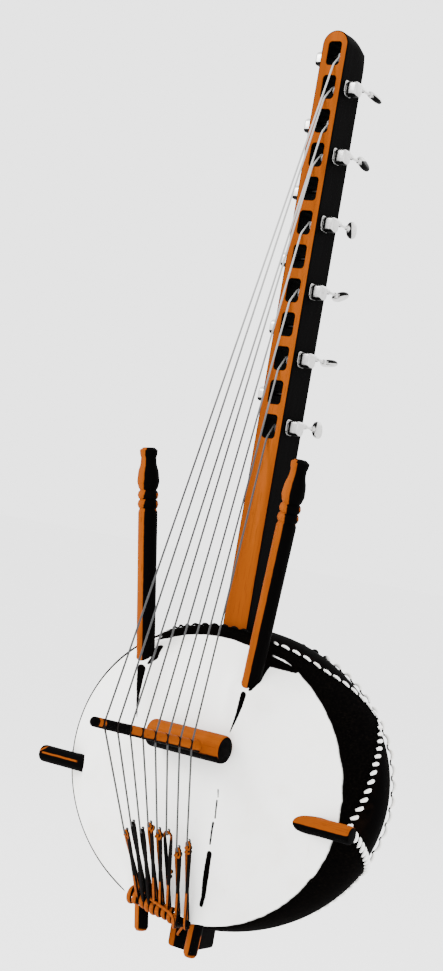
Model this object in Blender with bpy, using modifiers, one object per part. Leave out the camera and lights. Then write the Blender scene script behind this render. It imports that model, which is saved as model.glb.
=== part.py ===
# Harp-lute with a half calabash body, a slotted neck and twelve tuning machines.
# Metres, +Z up along the neck. The front of the instrument, with its skin, faces -Y.
# The origin is on the flat back of the neck, where a stand or a wall bracket holds it.

import bpy
import bmesh
from math import acos, atan2, ceil, cos, exp, hypot, pi, radians, sin, sqrt
from mathutils import Matrix, Vector

# Driving sizes

CLEARANCE = 0.0003          # space left between pieces that touch

NECK_WIDTH = 0.038
NECK_DEPTH = 0.052
NECK_REACH = 0.793          # above the calabash
NECK_TAIL = 0.031           # below the calabash
NECK_EDGE = 0.0015
HEAD_FALL = 0.010           # the back of the round top is lower than its front
NECK_SET_BACK = 0.017       # rim of the calabash to the face of the neck
HOLD_HEIGHT = 0.300         # middle of the calabash to the held point
HELD_STEP = 0.0003          # the held stretch of the back stands proud of the rest
HELD_STEP_RUN = 0.002

SLOT_COUNT = 12
SLOT_PITCH = 0.0452
SLOT_FIRST = 0.0306         # top of the neck to the first slot
SLOT_WIDTH = 0.020
SLOT_LENGTH = 0.032
SLOT_CORNER = 0.005

BOWL_HALF_WIDTH = 0.218
BOWL_HALF_HEIGHT = 0.197
BOWL_HALF_DEPTH = 0.205
BOWL_RIM_RISE = 0.064       # widest ring to the cut rim
BOWL_WALL = 0.006

SKIN_THICKNESS = 0.0018
SKIN_CROWN = 0.0462         # rise of the middle over the rim
CROWN_FULLER_UP = 2.5       # how much fuller than round the crown is towards the neck
CROWN_FULLER_DOWN = 1.3
SKIN_SLACK = 0.0021         # the skirt stands off the calabash a little more than the crown
TENT_SLACK = 0.0010         # space under the hide where a handle lifts it
TENT_FLAT = 0.008           # half the width that lies over the handle
TENT_SPREAD = 0.020
TENT_FADE = 0.036           # from where a handle comes out to where the hide is down again

CROSS_RADIUS = 0.0115
CROSS_LEFT = 0.250
CROSS_RIGHT = 0.235
CROSS_UP = -0.0228
STICK_END_ROUND = 0.005

# The handles are not quite a pair: each of these is for the left one and the right one
HANDLE_LENGTHS = (0.631, 0.657)
HANDLE_TAIL_SPREADS = (0.0473, 0.0310)  # middle of the neck to the tail's end
HANDLE_TAIL_DROPS = (0.0282, 0.0415)    # tail end below the rim
HANDLE_SPLAYS = (0.1216, 0.1183)        # sideways per metre upward
HANDLE_EXITS = (0.130, 0.125)           # where it comes out of the hide, over the calabash's middle
HANDLE_GRIP_RADIUS = 0.0127
HANDLE_TAIL_RADIUS = 0.0092
HANDLE_THICK_TO = 0.300     # from the finial's top
HANDLE_THIN_FROM = 0.415
HANDLE_NOTCH = 0.0065       # depth of the notch over the cross stick

FOOT_RADIUS = 0.018
FOOT_LENGTH = 0.112
FOOT_SIDE = 0.0125
FOOT_UP = 0.0487

BRIDGE_HEIGHT = 0.2265      # from the skin to the tip
BRIDGE_ROOT_RADIUS = 0.0075
BRIDGE_TIP_RADIUS = 0.0062
BRIDGE_ROOT_SIDE = 0.0410
BRIDGE_ROOT_UP = 0.0430
BRIDGE_LEAN_SIDE = 7.75     # degrees towards -X
BRIDGE_LEAN_UP = 7.75       # degrees towards the neck
BRIDGE_SEAT_LEFT = 0.003    # wood left under the bar in its foot
STRING_COUNT = 8
NOTCH_FIRST = 0.0157        # tip to the first notch
NOTCH_PITCH = 0.0234
NOTCH_DEPTH = 0.0016

POST_RADIUS = 0.0030
POST_BACK = 0.0200          # face of the neck to the axis of a post
POST_SHORT = 0.0030         # post end to the far wall of the slot
GEAR_RADIUS = 0.0055
GEAR_THICKNESS = 0.0030
WORM_RADIUS = 0.0024
WORM_LENGTH = 0.0100
SHAFT_RADIUS = 0.0019
HOUSING_WALL = 0.0014
HOUSING_STAND = 0.0160      # off the side of the neck
HOUSING_LENGTH = 0.0180
HOUSING_ROUND = 0.0032
FERRULE_LENGTH = 0.015
FERRULE_RADIUS = 0.0040
BUTTON_START = 0.0145       # back of the neck to the near end of a button
BUTTON_LENGTH = 0.0210
BUTTON_WIDTH = 0.0250
BUTTON_THICKNESS = 0.0085

STRING_RADIUS = 0.0012
STRING_TURNS = 1.67
EYE_TURN = 250              # degrees that a string's end bends round its thong

BAR_RADIUS = 0.0040
BAR_LEFT = -0.0535
BAR_RIGHT = 0.0390
BAR_ABOVE_RIM = 0.0129      # rim below the calabash to the bar, over the middle of the neck
BAR_SLOPE = -0.210
BAR_SWING = 0.007           # the right end is nearer to the neck
THONG_RADIUS = 0.0018
LOOP_FEET = (-0.0385, -0.0299, -0.0212, -0.0126, -0.0040, 0.0061, 0.0200, 0.0335)
LOOP_LENGTHS = (0.132, 0.145, 0.130, 0.138, 0.125, 0.121, 0.098, 0.108)
LOOP_LEG = 0.0022           # foot of a loop to each of its legs
LOOP_HALF_WIDTH = 0.0034
THONG_HOLE_SIDE = -0.004    # hole in the tail of the neck, where the thong is made fast
THONG_HOLE_DROP = 0.013     # below the calabash
THONG_STOP_RADIUS = 0.0050

# The hem of the hide on each side: degrees from the neck, and depth below the rim
HEM_LINE = ((0, 0.011), (17, 0.012), (36, 0.042), (55, 0.116), (74, 0.057), (95, 0.013), (120, 0.148),
            (150, 0.122), (180, 0.085))
RING_DEPTH = 0.151          # rim to the second row of lacing
ROWS_APART = 0.022          # least distance of the second row from the hem
LACE_RADIUS = 0.0015
LACE_SWAY = 0.0040          # half the width of a row of stitches
HEM_STITCHES = 50
RING_STITCHES = 32

# Rest angles of the button wings, in degrees about their shafts, from the top machine down
BUTTON_TURNS = (-20, 34, 75, 50, -40, 88, -10, -24, 60, -8, -35, 82)

# Strings, from the tip of the bridge to its root, and the slot each one is tuned from
STRING_SLOTS = (1, 2, 3, 4, 6, 8, 10, 12)

# Places that follow from the sizes

RIM_Y = -(NECK_DEPTH + NECK_SET_BACK)
BOWL_Z = -HOLD_HEIGHT
NECK_FACE_Y = -NECK_DEPTH
NECK_TOP_UP = BOWL_HALF_HEIGHT + NECK_REACH
NECK_TAIL_UP = -(BOWL_HALF_HEIGHT + NECK_TAIL)
RIM_SHARE = sqrt(1 - (BOWL_RIM_RISE / BOWL_HALF_DEPTH) ** 2)
RIM_HALF_WIDTH = BOWL_HALF_WIDTH * RIM_SHARE
RIM_HALF_HEIGHT = BOWL_HALF_HEIGHT * RIM_SHARE
SKIN_LIFT = SKIN_THICKNESS + CLEARANCE
BAR_UP = BAR_ABOVE_RIM - RIM_HALF_HEIGHT

WOOD = (0.62, 0.205, 0.045)
DARK_WOOD = (0.035, 0.018, 0.012)
GOURD = (0.012, 0.009, 0.008)
HIDE = (0.87, 0.85, 0.80)
CORD = (0.90, 0.89, 0.86)
NICKEL = (0.72, 0.72, 0.70)
NYLON = (0.88, 0.88, 0.86)
THONG = (0.56, 0.19, 0.05)


def place(side, forward, up):
    """A point by its distance sideways, in front of the rim and above the calabash's middle."""
    return Vector((side, RIM_Y - forward, BOWL_Z + up))


def of_side(pair, side):
    """The left or the right one of a pair of sizes."""
    return pair[0] if side < 0 else pair[1]


# Scene, materials and small modelling steps

for old in list(bpy.data.objects):
    bpy.data.objects.remove(old, do_unlink=True)

instrument = bpy.data.collections.new("ngoni")
cutters = bpy.data.collections.new("cutters")
bpy.context.scene.collection.children.link(instrument)
bpy.context.scene.collection.children.link(cutters)


def make_material(name, colour, roughness, metallic=0.0):
    material = bpy.data.materials.new(name)
    material.use_nodes = True
    shader = material.node_tree.nodes["Principled BSDF"]
    shader.inputs["Base Color"].default_value = (*colour, 1.0)
    shader.inputs["Roughness"].default_value = roughness
    shader.inputs["Metallic"].default_value = metallic
    material.diffuse_color = (*colour, 1.0)
    return material


def new_object(name, data, collection=instrument):
    piece = bpy.data.objects.new(name, data)
    collection.objects.link(piece)
    return piece


def finish_piece(piece, colour, roughness, metallic=0.0):
    """Gives a piece its own material."""
    piece.data.materials.clear()
    piece.data.materials.append(make_material(piece.name, colour, roughness, metallic))
    return piece


def hide_cutter(piece):
    piece.hide_render = True
    piece.display_type = "WIRE"
    return piece


def mesh_from(name, build, collection=instrument):
    """A mesh object that the function build makes in an empty bmesh."""
    shape = bmesh.new()
    build(shape)
    mesh = bpy.data.meshes.new(name)
    shape.to_mesh(mesh)
    shape.free()
    return new_object(name, mesh, collection)


def smooth_round(piece, angle=35.0):
    piece.data.shade_smooth()
    piece.data.set_sharp_from_angle(angle=radians(angle))


def add_bevel(piece, width, segments=1, angle=40.0):
    bevel = piece.modifiers.new("edges", "BEVEL")
    bevel.width = width
    bevel.segments = segments
    bevel.limit_method = "ANGLE"
    bevel.angle_limit = radians(angle)
    return bevel


def cut(piece, cutter, operation="DIFFERENCE"):
    boolean = piece.modifiers.new(cutter.name, "BOOLEAN")
    boolean.operation = operation
    boolean.object = cutter
    return boolean


def to_mesh(piece, merge=0.000002):
    """Turns a piece and its modifiers into a plain mesh under the same name."""
    bpy.context.view_layer.update()
    graph = bpy.context.evaluated_depsgraph_get()
    mesh = bpy.data.meshes.new_from_object(piece.evaluated_get(graph))
    name = piece.name
    matrix = piece.matrix_world.copy()
    collection = piece.users_collection[0]
    bpy.data.objects.remove(piece, do_unlink=True)
    shape = bmesh.new()
    shape.from_mesh(mesh)
    bmesh.ops.remove_doubles(shape, verts=shape.verts, dist=merge)
    shape.to_mesh(mesh)
    shape.free()
    made = new_object(name, mesh, collection)
    made.matrix_world = matrix
    mesh.name = name
    return made


def slab(name, outline, thickness, collection=instrument):
    """A flat outline in X and Z, given a thickness along Y and centred on Y zero."""
    curve = bpy.data.curves.new(name, "CURVE")
    curve.dimensions = "2D"
    curve.fill_mode = "BOTH"
    curve.extrude = thickness / 2
    spline = curve.splines.new("POLY")
    spline.points.add(len(outline) - 1)
    for point, (x, z) in zip(spline.points, outline):
        point.co = (x, z, 0.0, 1.0)
    spline.use_cyclic_u = True
    piece = new_object(name, curve, collection)
    piece.rotation_euler = (pi / 2, 0, 0)
    return to_mesh(piece)


def turned(name, profile, steps, start, direction, collection=instrument):
    """A turned piece: profile holds (distance along, radius) from start, run along direction."""
    length = profile[-1][0]
    mesh = bpy.data.meshes.new(name)
    points = [(radius, 0.0, length - along) for along, radius in profile]
    mesh.from_pydata(points, [(i, i + 1) for i in range(len(points) - 1)], [])
    piece = new_object(name, mesh, collection)
    screw = piece.modifiers.new("turning", "SCREW")
    screw.axis = "Z"
    screw.steps = steps
    screw.render_steps = steps
    screw.use_merge_vertices = True
    screw.merge_threshold = 0.00001
    screw.use_smooth_shade = True
    axis = direction.normalized()
    turn = (-axis).to_track_quat("Z", "Y").to_matrix().to_4x4()
    piece.matrix_world = Matrix.Translation(start + axis * length) @ turn
    return piece


def tube(name, points, radius, sides_level=1, closed=False, collection=instrument):
    """A round cord along the points."""
    curve = bpy.data.curves.new(name, "CURVE")
    curve.dimensions = "3D"
    curve.bevel_depth = radius
    curve.bevel_resolution = sides_level
    curve.use_fill_caps = not closed
    curve.twist_mode = "MINIMUM"
    spline = curve.splines.new("POLY")
    spline.points.add(len(points) - 1)
    for target, point in zip(spline.points, points):
        target.co = (*point, 1.0)
    spline.use_cyclic_u = closed
    return new_object(name, curve, collection)


def rounded_outline(half_width, half_height, corner, arc=3, middle=(0.0, 0.0)):
    """Corner arcs of a rounded rectangle, anticlockwise."""
    points = []
    for quarter, (sx, sz) in enumerate(((1, 1), (-1, 1), (-1, -1), (1, -1))):
        for step in range(arc + 1):
            angle = (quarter + step / arc) * pi / 2
            points.append((middle[0] + sx * (half_width - corner) + corner * cos(angle),
                           middle[1] + sz * (half_height - corner) + corner * sin(angle)))
    return points


def smooth_route(points, per_span, closed=False):
    """Points of a smooth curve that passes through the given ones."""
    count = len(points)
    route = []
    spans = count if closed else count - 1
    for i in range(spans):
        if closed:
            four = [points[(i + k) % count] for k in (-1, 0, 1, 2)]
        else:
            four = [points[min(max(i + k, 0), count - 1)] for k in (-1, 0, 1, 2)]
        for step in range(per_span):
            t = step / per_span
            route.append(0.5 * ((2 * four[1]) + (four[2] - four[0]) * t
                                + (2 * four[0] - 5 * four[1] + 4 * four[2] - four[3]) * t * t
                                + (3 * four[1] - four[0] - 3 * four[2] + four[3]) * t ** 3))
    if not closed:
        route.append(points[-1].copy())
    return route


def print_least_gap(name, points, radius, closed=False):
    """Prints the smallest space between stretches of one cord that are not next to each other."""
    fine = []
    spans = len(points) if closed else len(points) - 1
    for i in range(spans):
        a = points[i]
        b = points[(i + 1) % len(points)]
        pieces = max(1, ceil((b - a).length / (radius * 1.5)))
        fine += [a.lerp(b, k / pieces) for k in range(pieces)]
    if not closed:
        fine.append(points[-1])
    travelled = [0.0]
    for a, b in zip(fine, fine[1:]):
        travelled.append(travelled[-1] + (b - a).length)
    whole = travelled[-1]
    least = 1.0
    place_of_least = fine[0]
    for i, a in enumerate(fine):
        for j in range(i + 1, len(fine)):
            along = travelled[j] - travelled[i]
            if closed:
                along = min(along, whole - along)
            if along > 5 * radius and (fine[j] - a).length < least:
                least = (fine[j] - a).length
                place_of_least = a
    print("%s: least gap to itself %.2f mm at %.4f %.4f %.4f, length %.3f m" % (
        name, 1000 * (least - 2 * radius), *place_of_least, whole))


# Neck: one slab of wood with a round top, slotted for the posts

neck_top = NECK_TOP_UP + BOWL_Z
neck_bottom = NECK_TAIL_UP + BOWL_Z
half_neck = NECK_WIDTH / 2


def neck_outline(grow=0.0):
    half = half_neck + grow
    points = [(-half, neck_bottom - grow), (half, neck_bottom - grow)]
    arc = 10
    for step in range(arc + 1):
        angle = pi * step / arc
        points.append((half * cos(angle), neck_top - half_neck + half * sin(angle)))
    return points


def slot_height(number):
    """Height of the middle of a slot; slot 1 is at the top."""
    return neck_top - SLOT_FIRST - (number - 1) * SLOT_PITCH


def machine_side(number):
    """Even machines are on the right, odd ones on the left."""
    return 1 if number % 2 == 0 else -1


post_y = NECK_FACE_Y + POST_BACK

neck = slab("neck", neck_outline(), NECK_DEPTH)
for vert in neck.data.vertices:
    over = (vert.co.y - (neck_top - half_neck)) / half_neck
    if vert.co.z < 0 and over > 0:
        vert.co.y -= HEAD_FALL * over
neck.location.y = NECK_FACE_Y / 2
add_bevel(neck, NECK_EDGE, 1, 60)
neck = to_mesh(neck)

for number in range(1, SLOT_COUNT + 1):
    outline = rounded_outline(SLOT_WIDTH / 2, SLOT_LENGTH / 2, SLOT_CORNER, 2, (0.0, slot_height(number)))
    slot = hide_cutter(slab("slot_%02d" % number, outline, NECK_DEPTH * 2, cutters))
    slot.location.y = NECK_FACE_Y / 2
    cut(neck, slot)


def post_hole(shape):
    reach = NECK_WIDTH / 2
    for number in range(1, SLOT_COUNT + 1):
        spot = Vector((machine_side(number) * reach, post_y, slot_height(number)))
        bmesh.ops.create_cone(shape, cap_ends=True, segments=10, radius1=POST_RADIUS + CLEARANCE,
                              radius2=POST_RADIUS + CLEARANCE, depth=reach * 1.6,
                              matrix=Matrix.Translation(spot) @ Matrix.Rotation(pi / 2, 4, "Y")
                              @ Matrix.Rotation(pi / 12, 4, "Z"))


post_holes = hide_cutter(mesh_from("post_holes", post_hole, cutters))
cut(neck, post_holes)
thong_hole_up = -(BOWL_HALF_HEIGHT + THONG_HOLE_DROP)


def thong_hole(shape):
    spot = Vector((THONG_HOLE_SIDE, NECK_FACE_Y / 2, BOWL_Z + thong_hole_up))
    bmesh.ops.create_cone(shape, cap_ends=True, segments=12, radius1=THONG_RADIUS + CLEARANCE,
                          radius2=THONG_RADIUS + CLEARANCE, depth=NECK_DEPTH * 2,
                          matrix=Matrix.Translation(spot) @ Matrix.Rotation(pi / 2, 4, "X"))


cut(neck, hide_cutter(mesh_from("thong_hole", thong_hole, cutters)))
neck = to_mesh(neck)

# The stretch that a stand or a wall bracket holds is planed flat and stands a little proud of the back
held_low = -(HOLD_HEIGHT - BOWL_HALF_HEIGHT - 0.008)
held_high = -held_low * 0.9
shape = bmesh.new()
shape.from_mesh(neck.data)
for height in (held_low - HELD_STEP_RUN, held_low, held_high, held_high + HELD_STEP_RUN):
    bmesh.ops.bisect_plane(shape, geom=shape.verts[:] + shape.edges[:] + shape.faces[:], dist=0.00001,
                           plane_co=(0.0, height, 0.0), plane_no=(0.0, 1.0, 0.0))
for vert in shape.verts:
    held = held_low - HELD_STEP_RUN / 2 < vert.co.y < held_high + HELD_STEP_RUN / 2
    if not held and vert.co.z < 0.00001 - NECK_DEPTH / 2:
        vert.co.z += HELD_STEP
shape.to_mesh(neck.data)
shape.free()
finish_piece(neck, WOOD, 0.45)
smooth_round(neck, 30)


# Cross stick: lies on the rim on both sides and in a notch of each handle

cross_forward = CROSS_RADIUS + CLEARANCE


def stick_profile(length, radius, grow=0.0):
    full = radius + grow
    round_end = STICK_END_ROUND
    return [(0.0, 0.0), (0.0001, full * 0.55), (round_end * 0.35, full * 0.85), (round_end, full),
            (length - round_end, full), (length - round_end * 0.35, full * 0.85),
            (length - 0.0001, full * 0.55), (length, 0.0)]


cross_start = place(-CROSS_LEFT, cross_forward, CROSS_UP)
cross_length = CROSS_LEFT + CROSS_RIGHT
cross = to_mesh(turned("cross_stick", stick_profile(cross_length, CROSS_RADIUS), 20, cross_start,
                       Vector((1, 0, 0))))
finish_piece(cross, WOOD, 0.45)
smooth_round(cross, 40)
cross_slit = to_mesh(turned("cross_slit", stick_profile(cross_length, CROSS_RADIUS, CLEARANCE * 1.6), 20,
                            cross_start, Vector((1, 0, 0)), cutters))
hide_cutter(cross_slit)


# Handles: two turned sticks that lean out and forward, notched over the cross stick

handle_at_rim = HANDLE_TAIL_RADIUS + CLEARANCE
handle_at_cross = cross_forward + CROSS_RADIUS + HANDLE_TAIL_RADIUS - HANDLE_NOTCH
HANDLE_LEAN = (handle_at_cross - handle_at_rim) / (CROSS_UP + RIM_HALF_HEIGHT)


def handle_tail_up(side):
    return -(RIM_HALF_HEIGHT + of_side(HANDLE_TAIL_DROPS, side))


def handle_point(side, up):
    """The handle's axis at a height over the middle of the calabash."""
    forward = handle_at_rim + (up + RIM_HALF_HEIGHT) * HANDLE_LEAN
    spread = of_side(HANDLE_TAIL_SPREADS, side) + (up - handle_tail_up(side)) * of_side(HANDLE_SPLAYS, side)
    return place(side * spread, forward, up)


def handle_radius(side, up):
    """The handle's radius at a height over the middle of the calabash, below its grip."""
    low = handle_point(side, handle_tail_up(side))
    along = of_side(HANDLE_LENGTHS, side) - (handle_point(side, up) - low).length
    thick = (HANDLE_THIN_FROM - along) / (HANDLE_THIN_FROM - HANDLE_THICK_TO)
    thick = min(1.0, max(0.0, thick))
    return HANDLE_TAIL_RADIUS + (HANDLE_GRIP_RADIUS * 0.92 - HANDLE_TAIL_RADIUS) * thick


def handle_profile(length, grow=0.0):
    """Finial, waist, swell and two beads, then the grip that thins towards the skin."""
    grip = HANDLE_GRIP_RADIUS
    tail = HANDLE_TAIL_RADIUS
    shape = [
        (0.0000, 0.0), (0.0005, grip * 0.62), (0.0040, grip * 0.93), (0.0085, grip * 0.90),
        (0.0135, grip * 0.80), (0.0200, grip * 0.82), (0.0340, grip * 1.08), (0.0450, grip * 1.15),
        (0.0520, grip * 1.02), (0.0560, grip * 0.86), (0.0585, grip * 1.02), (0.0625, grip * 1.08),
        (0.0660, grip * 1.00), (0.0680, grip * 0.86), (0.0705, grip * 1.02), (0.0745, grip * 1.08),
        (0.0780, grip * 1.00), (0.0800, grip * 0.88), (0.0850, grip), (HANDLE_THICK_TO * 0.7, grip * 0.97),
        (HANDLE_THICK_TO, grip * 0.92), (HANDLE_THIN_FROM, tail), (length - 0.005, tail),
        (length - 0.0012, tail * 0.8), (length, 0.0),
    ]
    if grow == 0.0:
        return shape
    return [(along, 0.0 if radius == 0.0 else radius + grow) for along, radius in shape]


handle_cutters = []
for side, name in ((-1, "handle_left"), (1, "handle_right")):
    length = of_side(HANDLE_LENGTHS, side)
    low = handle_point(side, handle_tail_up(side))
    axis = (handle_point(side, NECK_TOP_UP) - low).normalized()
    top = low + axis * length
    stick = to_mesh(turned(name, handle_profile(length), 12, top, -axis))
    cut(stick, cross_slit)
    stick = to_mesh(stick)
    finish_piece(stick, WOOD, 0.4)
    smooth_round(stick, 40)
    around = turned(name + "_slit", handle_profile(length, CLEARANCE * 1.6), 12, top, -axis, cutters)
    handle_cutters.append(hide_cutter(to_mesh(around)))


# Calabash: a deep half gourd, cut above its widest ring, with two holes for the neck

def gourd_ring(below_rim, inward=0.0):
    """Half width, half height and depth of the gourd's surface at a depth below the rim."""
    share = (BOWL_RIM_RISE - below_rim) / (BOWL_HALF_DEPTH - inward)
    size = sqrt(max(0.0, 1 - share * share))
    return (BOWL_HALF_WIDTH - inward) * size, (BOWL_HALF_HEIGHT - inward) * size


def ring_points(half_width, half_height, y, count, height=BOWL_Z):
    return [Vector((half_width * cos(2 * pi * k / count), y, height + half_height * sin(2 * pi * k / count)))
            for k in range(count)]


RIM_SIDES = 48
SKIRT_STEPS = 6


def bowl_surface(shape, inward, rings):
    """Rings of one face of the gourd wall, from the rim to the pole, as bmesh vertices."""
    deepest = BOWL_RIM_RISE + BOWL_HALF_DEPTH - inward
    start = acos(min(1.0, BOWL_RIM_RISE / (BOWL_HALF_DEPTH - inward)))
    made = []
    for k in range(rings):
        angle = start + (pi - start) * k / rings
        below = BOWL_RIM_RISE - (BOWL_HALF_DEPTH - inward) * cos(angle)
        half_width, half_height = gourd_ring(below, inward)
        ring = ring_points(half_width, half_height, RIM_Y + below, RIM_SIDES)
        made.append([shape.verts.new(point) for point in ring])
    pole = shape.verts.new((0.0, RIM_Y + deepest, BOWL_Z))
    return made, pole


def skin_rings(shape, rings, flip):
    """Faces between neighbouring rings of vertices."""
    for a, b in zip(rings, rings[1:]):
        for k in range(len(a)):
            j = (k + 1) % len(a)
            face = (a[k], a[j], b[j], b[k])
            shape.faces.new(face if not flip else face[::-1])


def build_bowl(shape):
    outer, outer_pole = bowl_surface(shape, 0.0, 9)
    inner, inner_pole = bowl_surface(shape, BOWL_WALL, 7)
    skin_rings(shape, outer, False)
    skin_rings(shape, inner, True)
    skin_rings(shape, [outer[0], inner[0]], True)
    for k in range(RIM_SIDES):
        j = (k + 1) % RIM_SIDES
        shape.faces.new((outer[-1][k], outer[-1][j], outer_pole))
        shape.faces.new((inner[-1][j], inner[-1][k], inner_pole))
    bmesh.ops.recalc_face_normals(shape, faces=shape.faces)


def box_cutter(name, low, high):
    def build(shape):
        bmesh.ops.create_cube(shape, size=1.0)
        for vert in shape.verts:
            vert.co = Vector([low[i] + (vert.co[i] + 0.5) * (high[i] - low[i]) for i in range(3)])
    return hide_cutter(mesh_from(name, build, cutters))


neck_hole = box_cutter("neck_hole",
                       (-half_neck - CLEARANCE, NECK_FACE_Y - CLEARANCE, neck_bottom - 0.05),
                       (half_neck + CLEARANCE, CLEARANCE - HELD_STEP, BOWL_Z + BOWL_HALF_HEIGHT + 0.05))

calabash = mesh_from("calabash", build_bowl)
cut(calabash, neck_hole)
calabash = to_mesh(calabash)
finish_piece(calabash, GOURD, 0.35)
smooth_round(calabash, 30)


# Skin: a hide stretched over the sticks, turned over the rim and laced down the side

def hem_depth(angle):
    """How far below the rim the hem runs at an angle from the neck."""
    degrees_off = abs((angle * 180 / pi + 180) % 360 - 180)
    for (near, high), (far, low) in zip(HEM_LINE, HEM_LINE[1:]):
        if degrees_off <= far:
            return high + (low - high) * (degrees_off - near) / (far - near)
    return HEM_LINE[-1][1]


def ring_depth(angle):
    return max(RING_DEPTH, hem_depth(angle) + ROWS_APART)


def crown_rise(x, up):
    """Rise of the outer face of the hide in front of the rim."""
    across = x / RIM_HALF_WIDTH
    along = up / RIM_HALF_HEIGHT
    share = across * across + along * along
    if share >= 1:
        return SKIN_LIFT
    fuller = CROWN_FULLER_UP if up > 0 else CROWN_FULLER_DOWN
    steep = 2 + (fuller * along * along / share if share > 0 else 0)
    rise = SKIN_LIFT + SKIN_CROWN * (1 - share ** (steep / 2))
    return rise + tent_rise(x, up, rise)


def tent_rise(x, up, crown):
    """How far the hide is lifted off its crown over a handle, up to where that comes out."""
    most = 0.0
    for side in (-1, 1):
        exit_up = of_side(HANDLE_EXITS, side)
        under = handle_point(side, min(up, exit_up))
        reach = RIM_Y - under.y + handle_radius(side, min(up, exit_up)) + SKIN_LIFT + TENT_SLACK - crown
        fade = min(1.0, max(0.0, 1 - (up - exit_up) / TENT_FADE))
        off = max(0.0, abs(x - handle_point(side, up).x) - TENT_FLAT)
        most = max(most, reach * fade * exp(-(off / TENT_SPREAD) ** 2))
    return most


def crown_turns(share):
    """Angles of a ring's points; the nearest points are moved onto the lines of the handles."""
    turns = [2 * pi * k / RIM_SIDES for k in range(RIM_SIDES)]
    width = RIM_HALF_WIDTH * share
    height = RIM_HALF_HEIGHT * share
    for side in (-1, 1):
        if width <= abs(handle_point(side, 0.0).x):
            continue
        low = 0.0
        high = pi / 2
        for step in range(30):
            middle = (low + high) / 2
            if width * cos(middle) > abs(handle_point(side, height * sin(middle)).x):
                low = middle
            else:
                high = middle
        wanted = low if side > 0 else pi - low
        nearest = round(wanted * RIM_SIDES / (2 * pi))
        off = wanted - turns[nearest]
        for step in (-2, -1, 0, 1, 2):
            turns[nearest + step] += off * (1 - abs(step) / 3)
    return turns


def build_skin(shape):
    """The hide's outer face: the crown, the turn over the rim, and the skirt down to its hem."""
    shares = (0.2, 0.4, 0.55, 0.66, 0.74, 0.80, 0.86, 0.92, 0.975)
    rings = []
    for share in shares:
        ring = []
        for turn in crown_turns(share):
            x = RIM_HALF_WIDTH * share * cos(turn)
            up = RIM_HALF_HEIGHT * share * sin(turn)
            ring.append(shape.verts.new(place(x, crown_rise(x, up), up)))
        rings.append(ring)
    skirt = SKIN_LIFT + SKIN_SLACK
    for forward, out in ((SKIN_LIFT * 0.92, SKIN_LIFT * 0.92), (-0.0015, skirt)):
        half_width, half_height = gourd_ring(0.001)
        ring = ring_points(half_width + out, half_height + out, RIM_Y - forward, RIM_SIDES)
        rings.append([shape.verts.new(point) for point in ring])
    for step in range(1, SKIRT_STEPS + 1):
        share = step / SKIRT_STEPS
        ring = []
        for k in range(RIM_SIDES):
            turn = 2 * pi * k / RIM_SIDES
            below = 0.0015 + (hem_depth(pi / 2 - turn) - 0.0015) * share
            half_width, half_height = gourd_ring(below)
            ring.append(shape.verts.new(place((half_width + skirt) * cos(turn), -below,
                                              (half_height + skirt) * sin(turn))))
        rings.append(ring)
    middle = shape.verts.new(place(0.0, crown_rise(0.0, 0.0), 0.0))
    skin_rings(shape, rings, False)
    for k in range(RIM_SIDES):
        shape.faces.new((middle, rings[0][(k + 1) % RIM_SIDES], rings[0][k]))
    bmesh.ops.recalc_face_normals(shape, faces=shape.faces)


skin = mesh_from("skin", build_skin)
wall = skin.modifiers.new("hide", "SOLIDIFY")
wall.thickness = SKIN_THICKNESS
wall.offset = -1
skin = to_mesh(skin)
for cutter in handle_cutters + [cross_slit, neck_hole]:
    cut(skin, cutter)
skin = to_mesh(skin)
finish_piece(skin, HIDE, 0.7)
smooth_round(skin, 50)


# Lacing: one cord is stitched over the hem of the hide, and a second row runs behind it

def on_gourd(angle, below_rim, off):
    """A point off the gourd's side, by its angle from the neck."""
    half_width, half_height = gourd_ring(below_rim)
    slope = (BOWL_RIM_RISE - below_rim) / BOWL_HALF_DEPTH ** 2
    base = Vector((half_width * sin(angle), 0.0, half_height * cos(angle)))
    outward = Vector((base.x / BOWL_HALF_WIDTH ** 2, -slope, base.z / BOWL_HALF_HEIGHT ** 2)).normalized()
    return place(base.x, -below_rim, base.z) + outward * off


def stitched_row(name, depth, stitches, off):
    """A closed cord that sways to both sides of a line round the calabash."""
    line = [on_gourd(2 * pi * k / 360, depth(2 * pi * k / 360), off) for k in range(361)]
    travelled = [0.0]
    for a, b in zip(line, line[1:]):
        travelled.append(travelled[-1] + (b - a).length)
    points = []
    at = 0
    for bend in range(stitches * 2):
        wanted = travelled[-1] * (bend + 0.5) / (stitches * 2)
        while travelled[at + 1] < wanted:
            at += 1
        share = (wanted - travelled[at]) / (travelled[at + 1] - travelled[at])
        angle = 2 * pi * (at + share) / 360
        along = (line[at + 1] - line[at]).normalized()
        outward = (on_gourd(angle, depth(angle), off + 0.001) - on_gourd(angle, depth(angle), off)).normalized()
        sideways = along.cross(outward) * LACE_SWAY * (1 if bend % 2 else -1)
        points.append(on_gourd(angle, depth(angle), off) + sideways + outward * 0.0002)
    print_least_gap(name, points, LACE_RADIUS, True)
    return finish_piece(tube(name, points, LACE_RADIUS, 1, True), CORD, 0.8)


stitched_row("hem_lacing", lambda angle: hem_depth(angle) - LACE_SWAY * 0.3, HEM_STITCHES,
             SKIN_LIFT + SKIN_SLACK + CLEARANCE + LACE_RADIUS)
stitched_row("ring_lacing", ring_depth, RING_STITCHES, CLEARANCE * 2 + LACE_RADIUS)


# Bridge foot: a round block that lies across the skin and holds the bar

skin_top = crown_rise(FOOT_SIDE, FOOT_UP)
foot_forward = skin_top + CLEARANCE + FOOT_RADIUS
foot_start = place(FOOT_SIDE - FOOT_LENGTH / 2, foot_forward, FOOT_UP)
foot = turned("bridge_foot", stick_profile(FOOT_LENGTH, FOOT_RADIUS), 24, foot_start, Vector((1, 0, 0)))
foot = to_mesh(foot)

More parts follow.
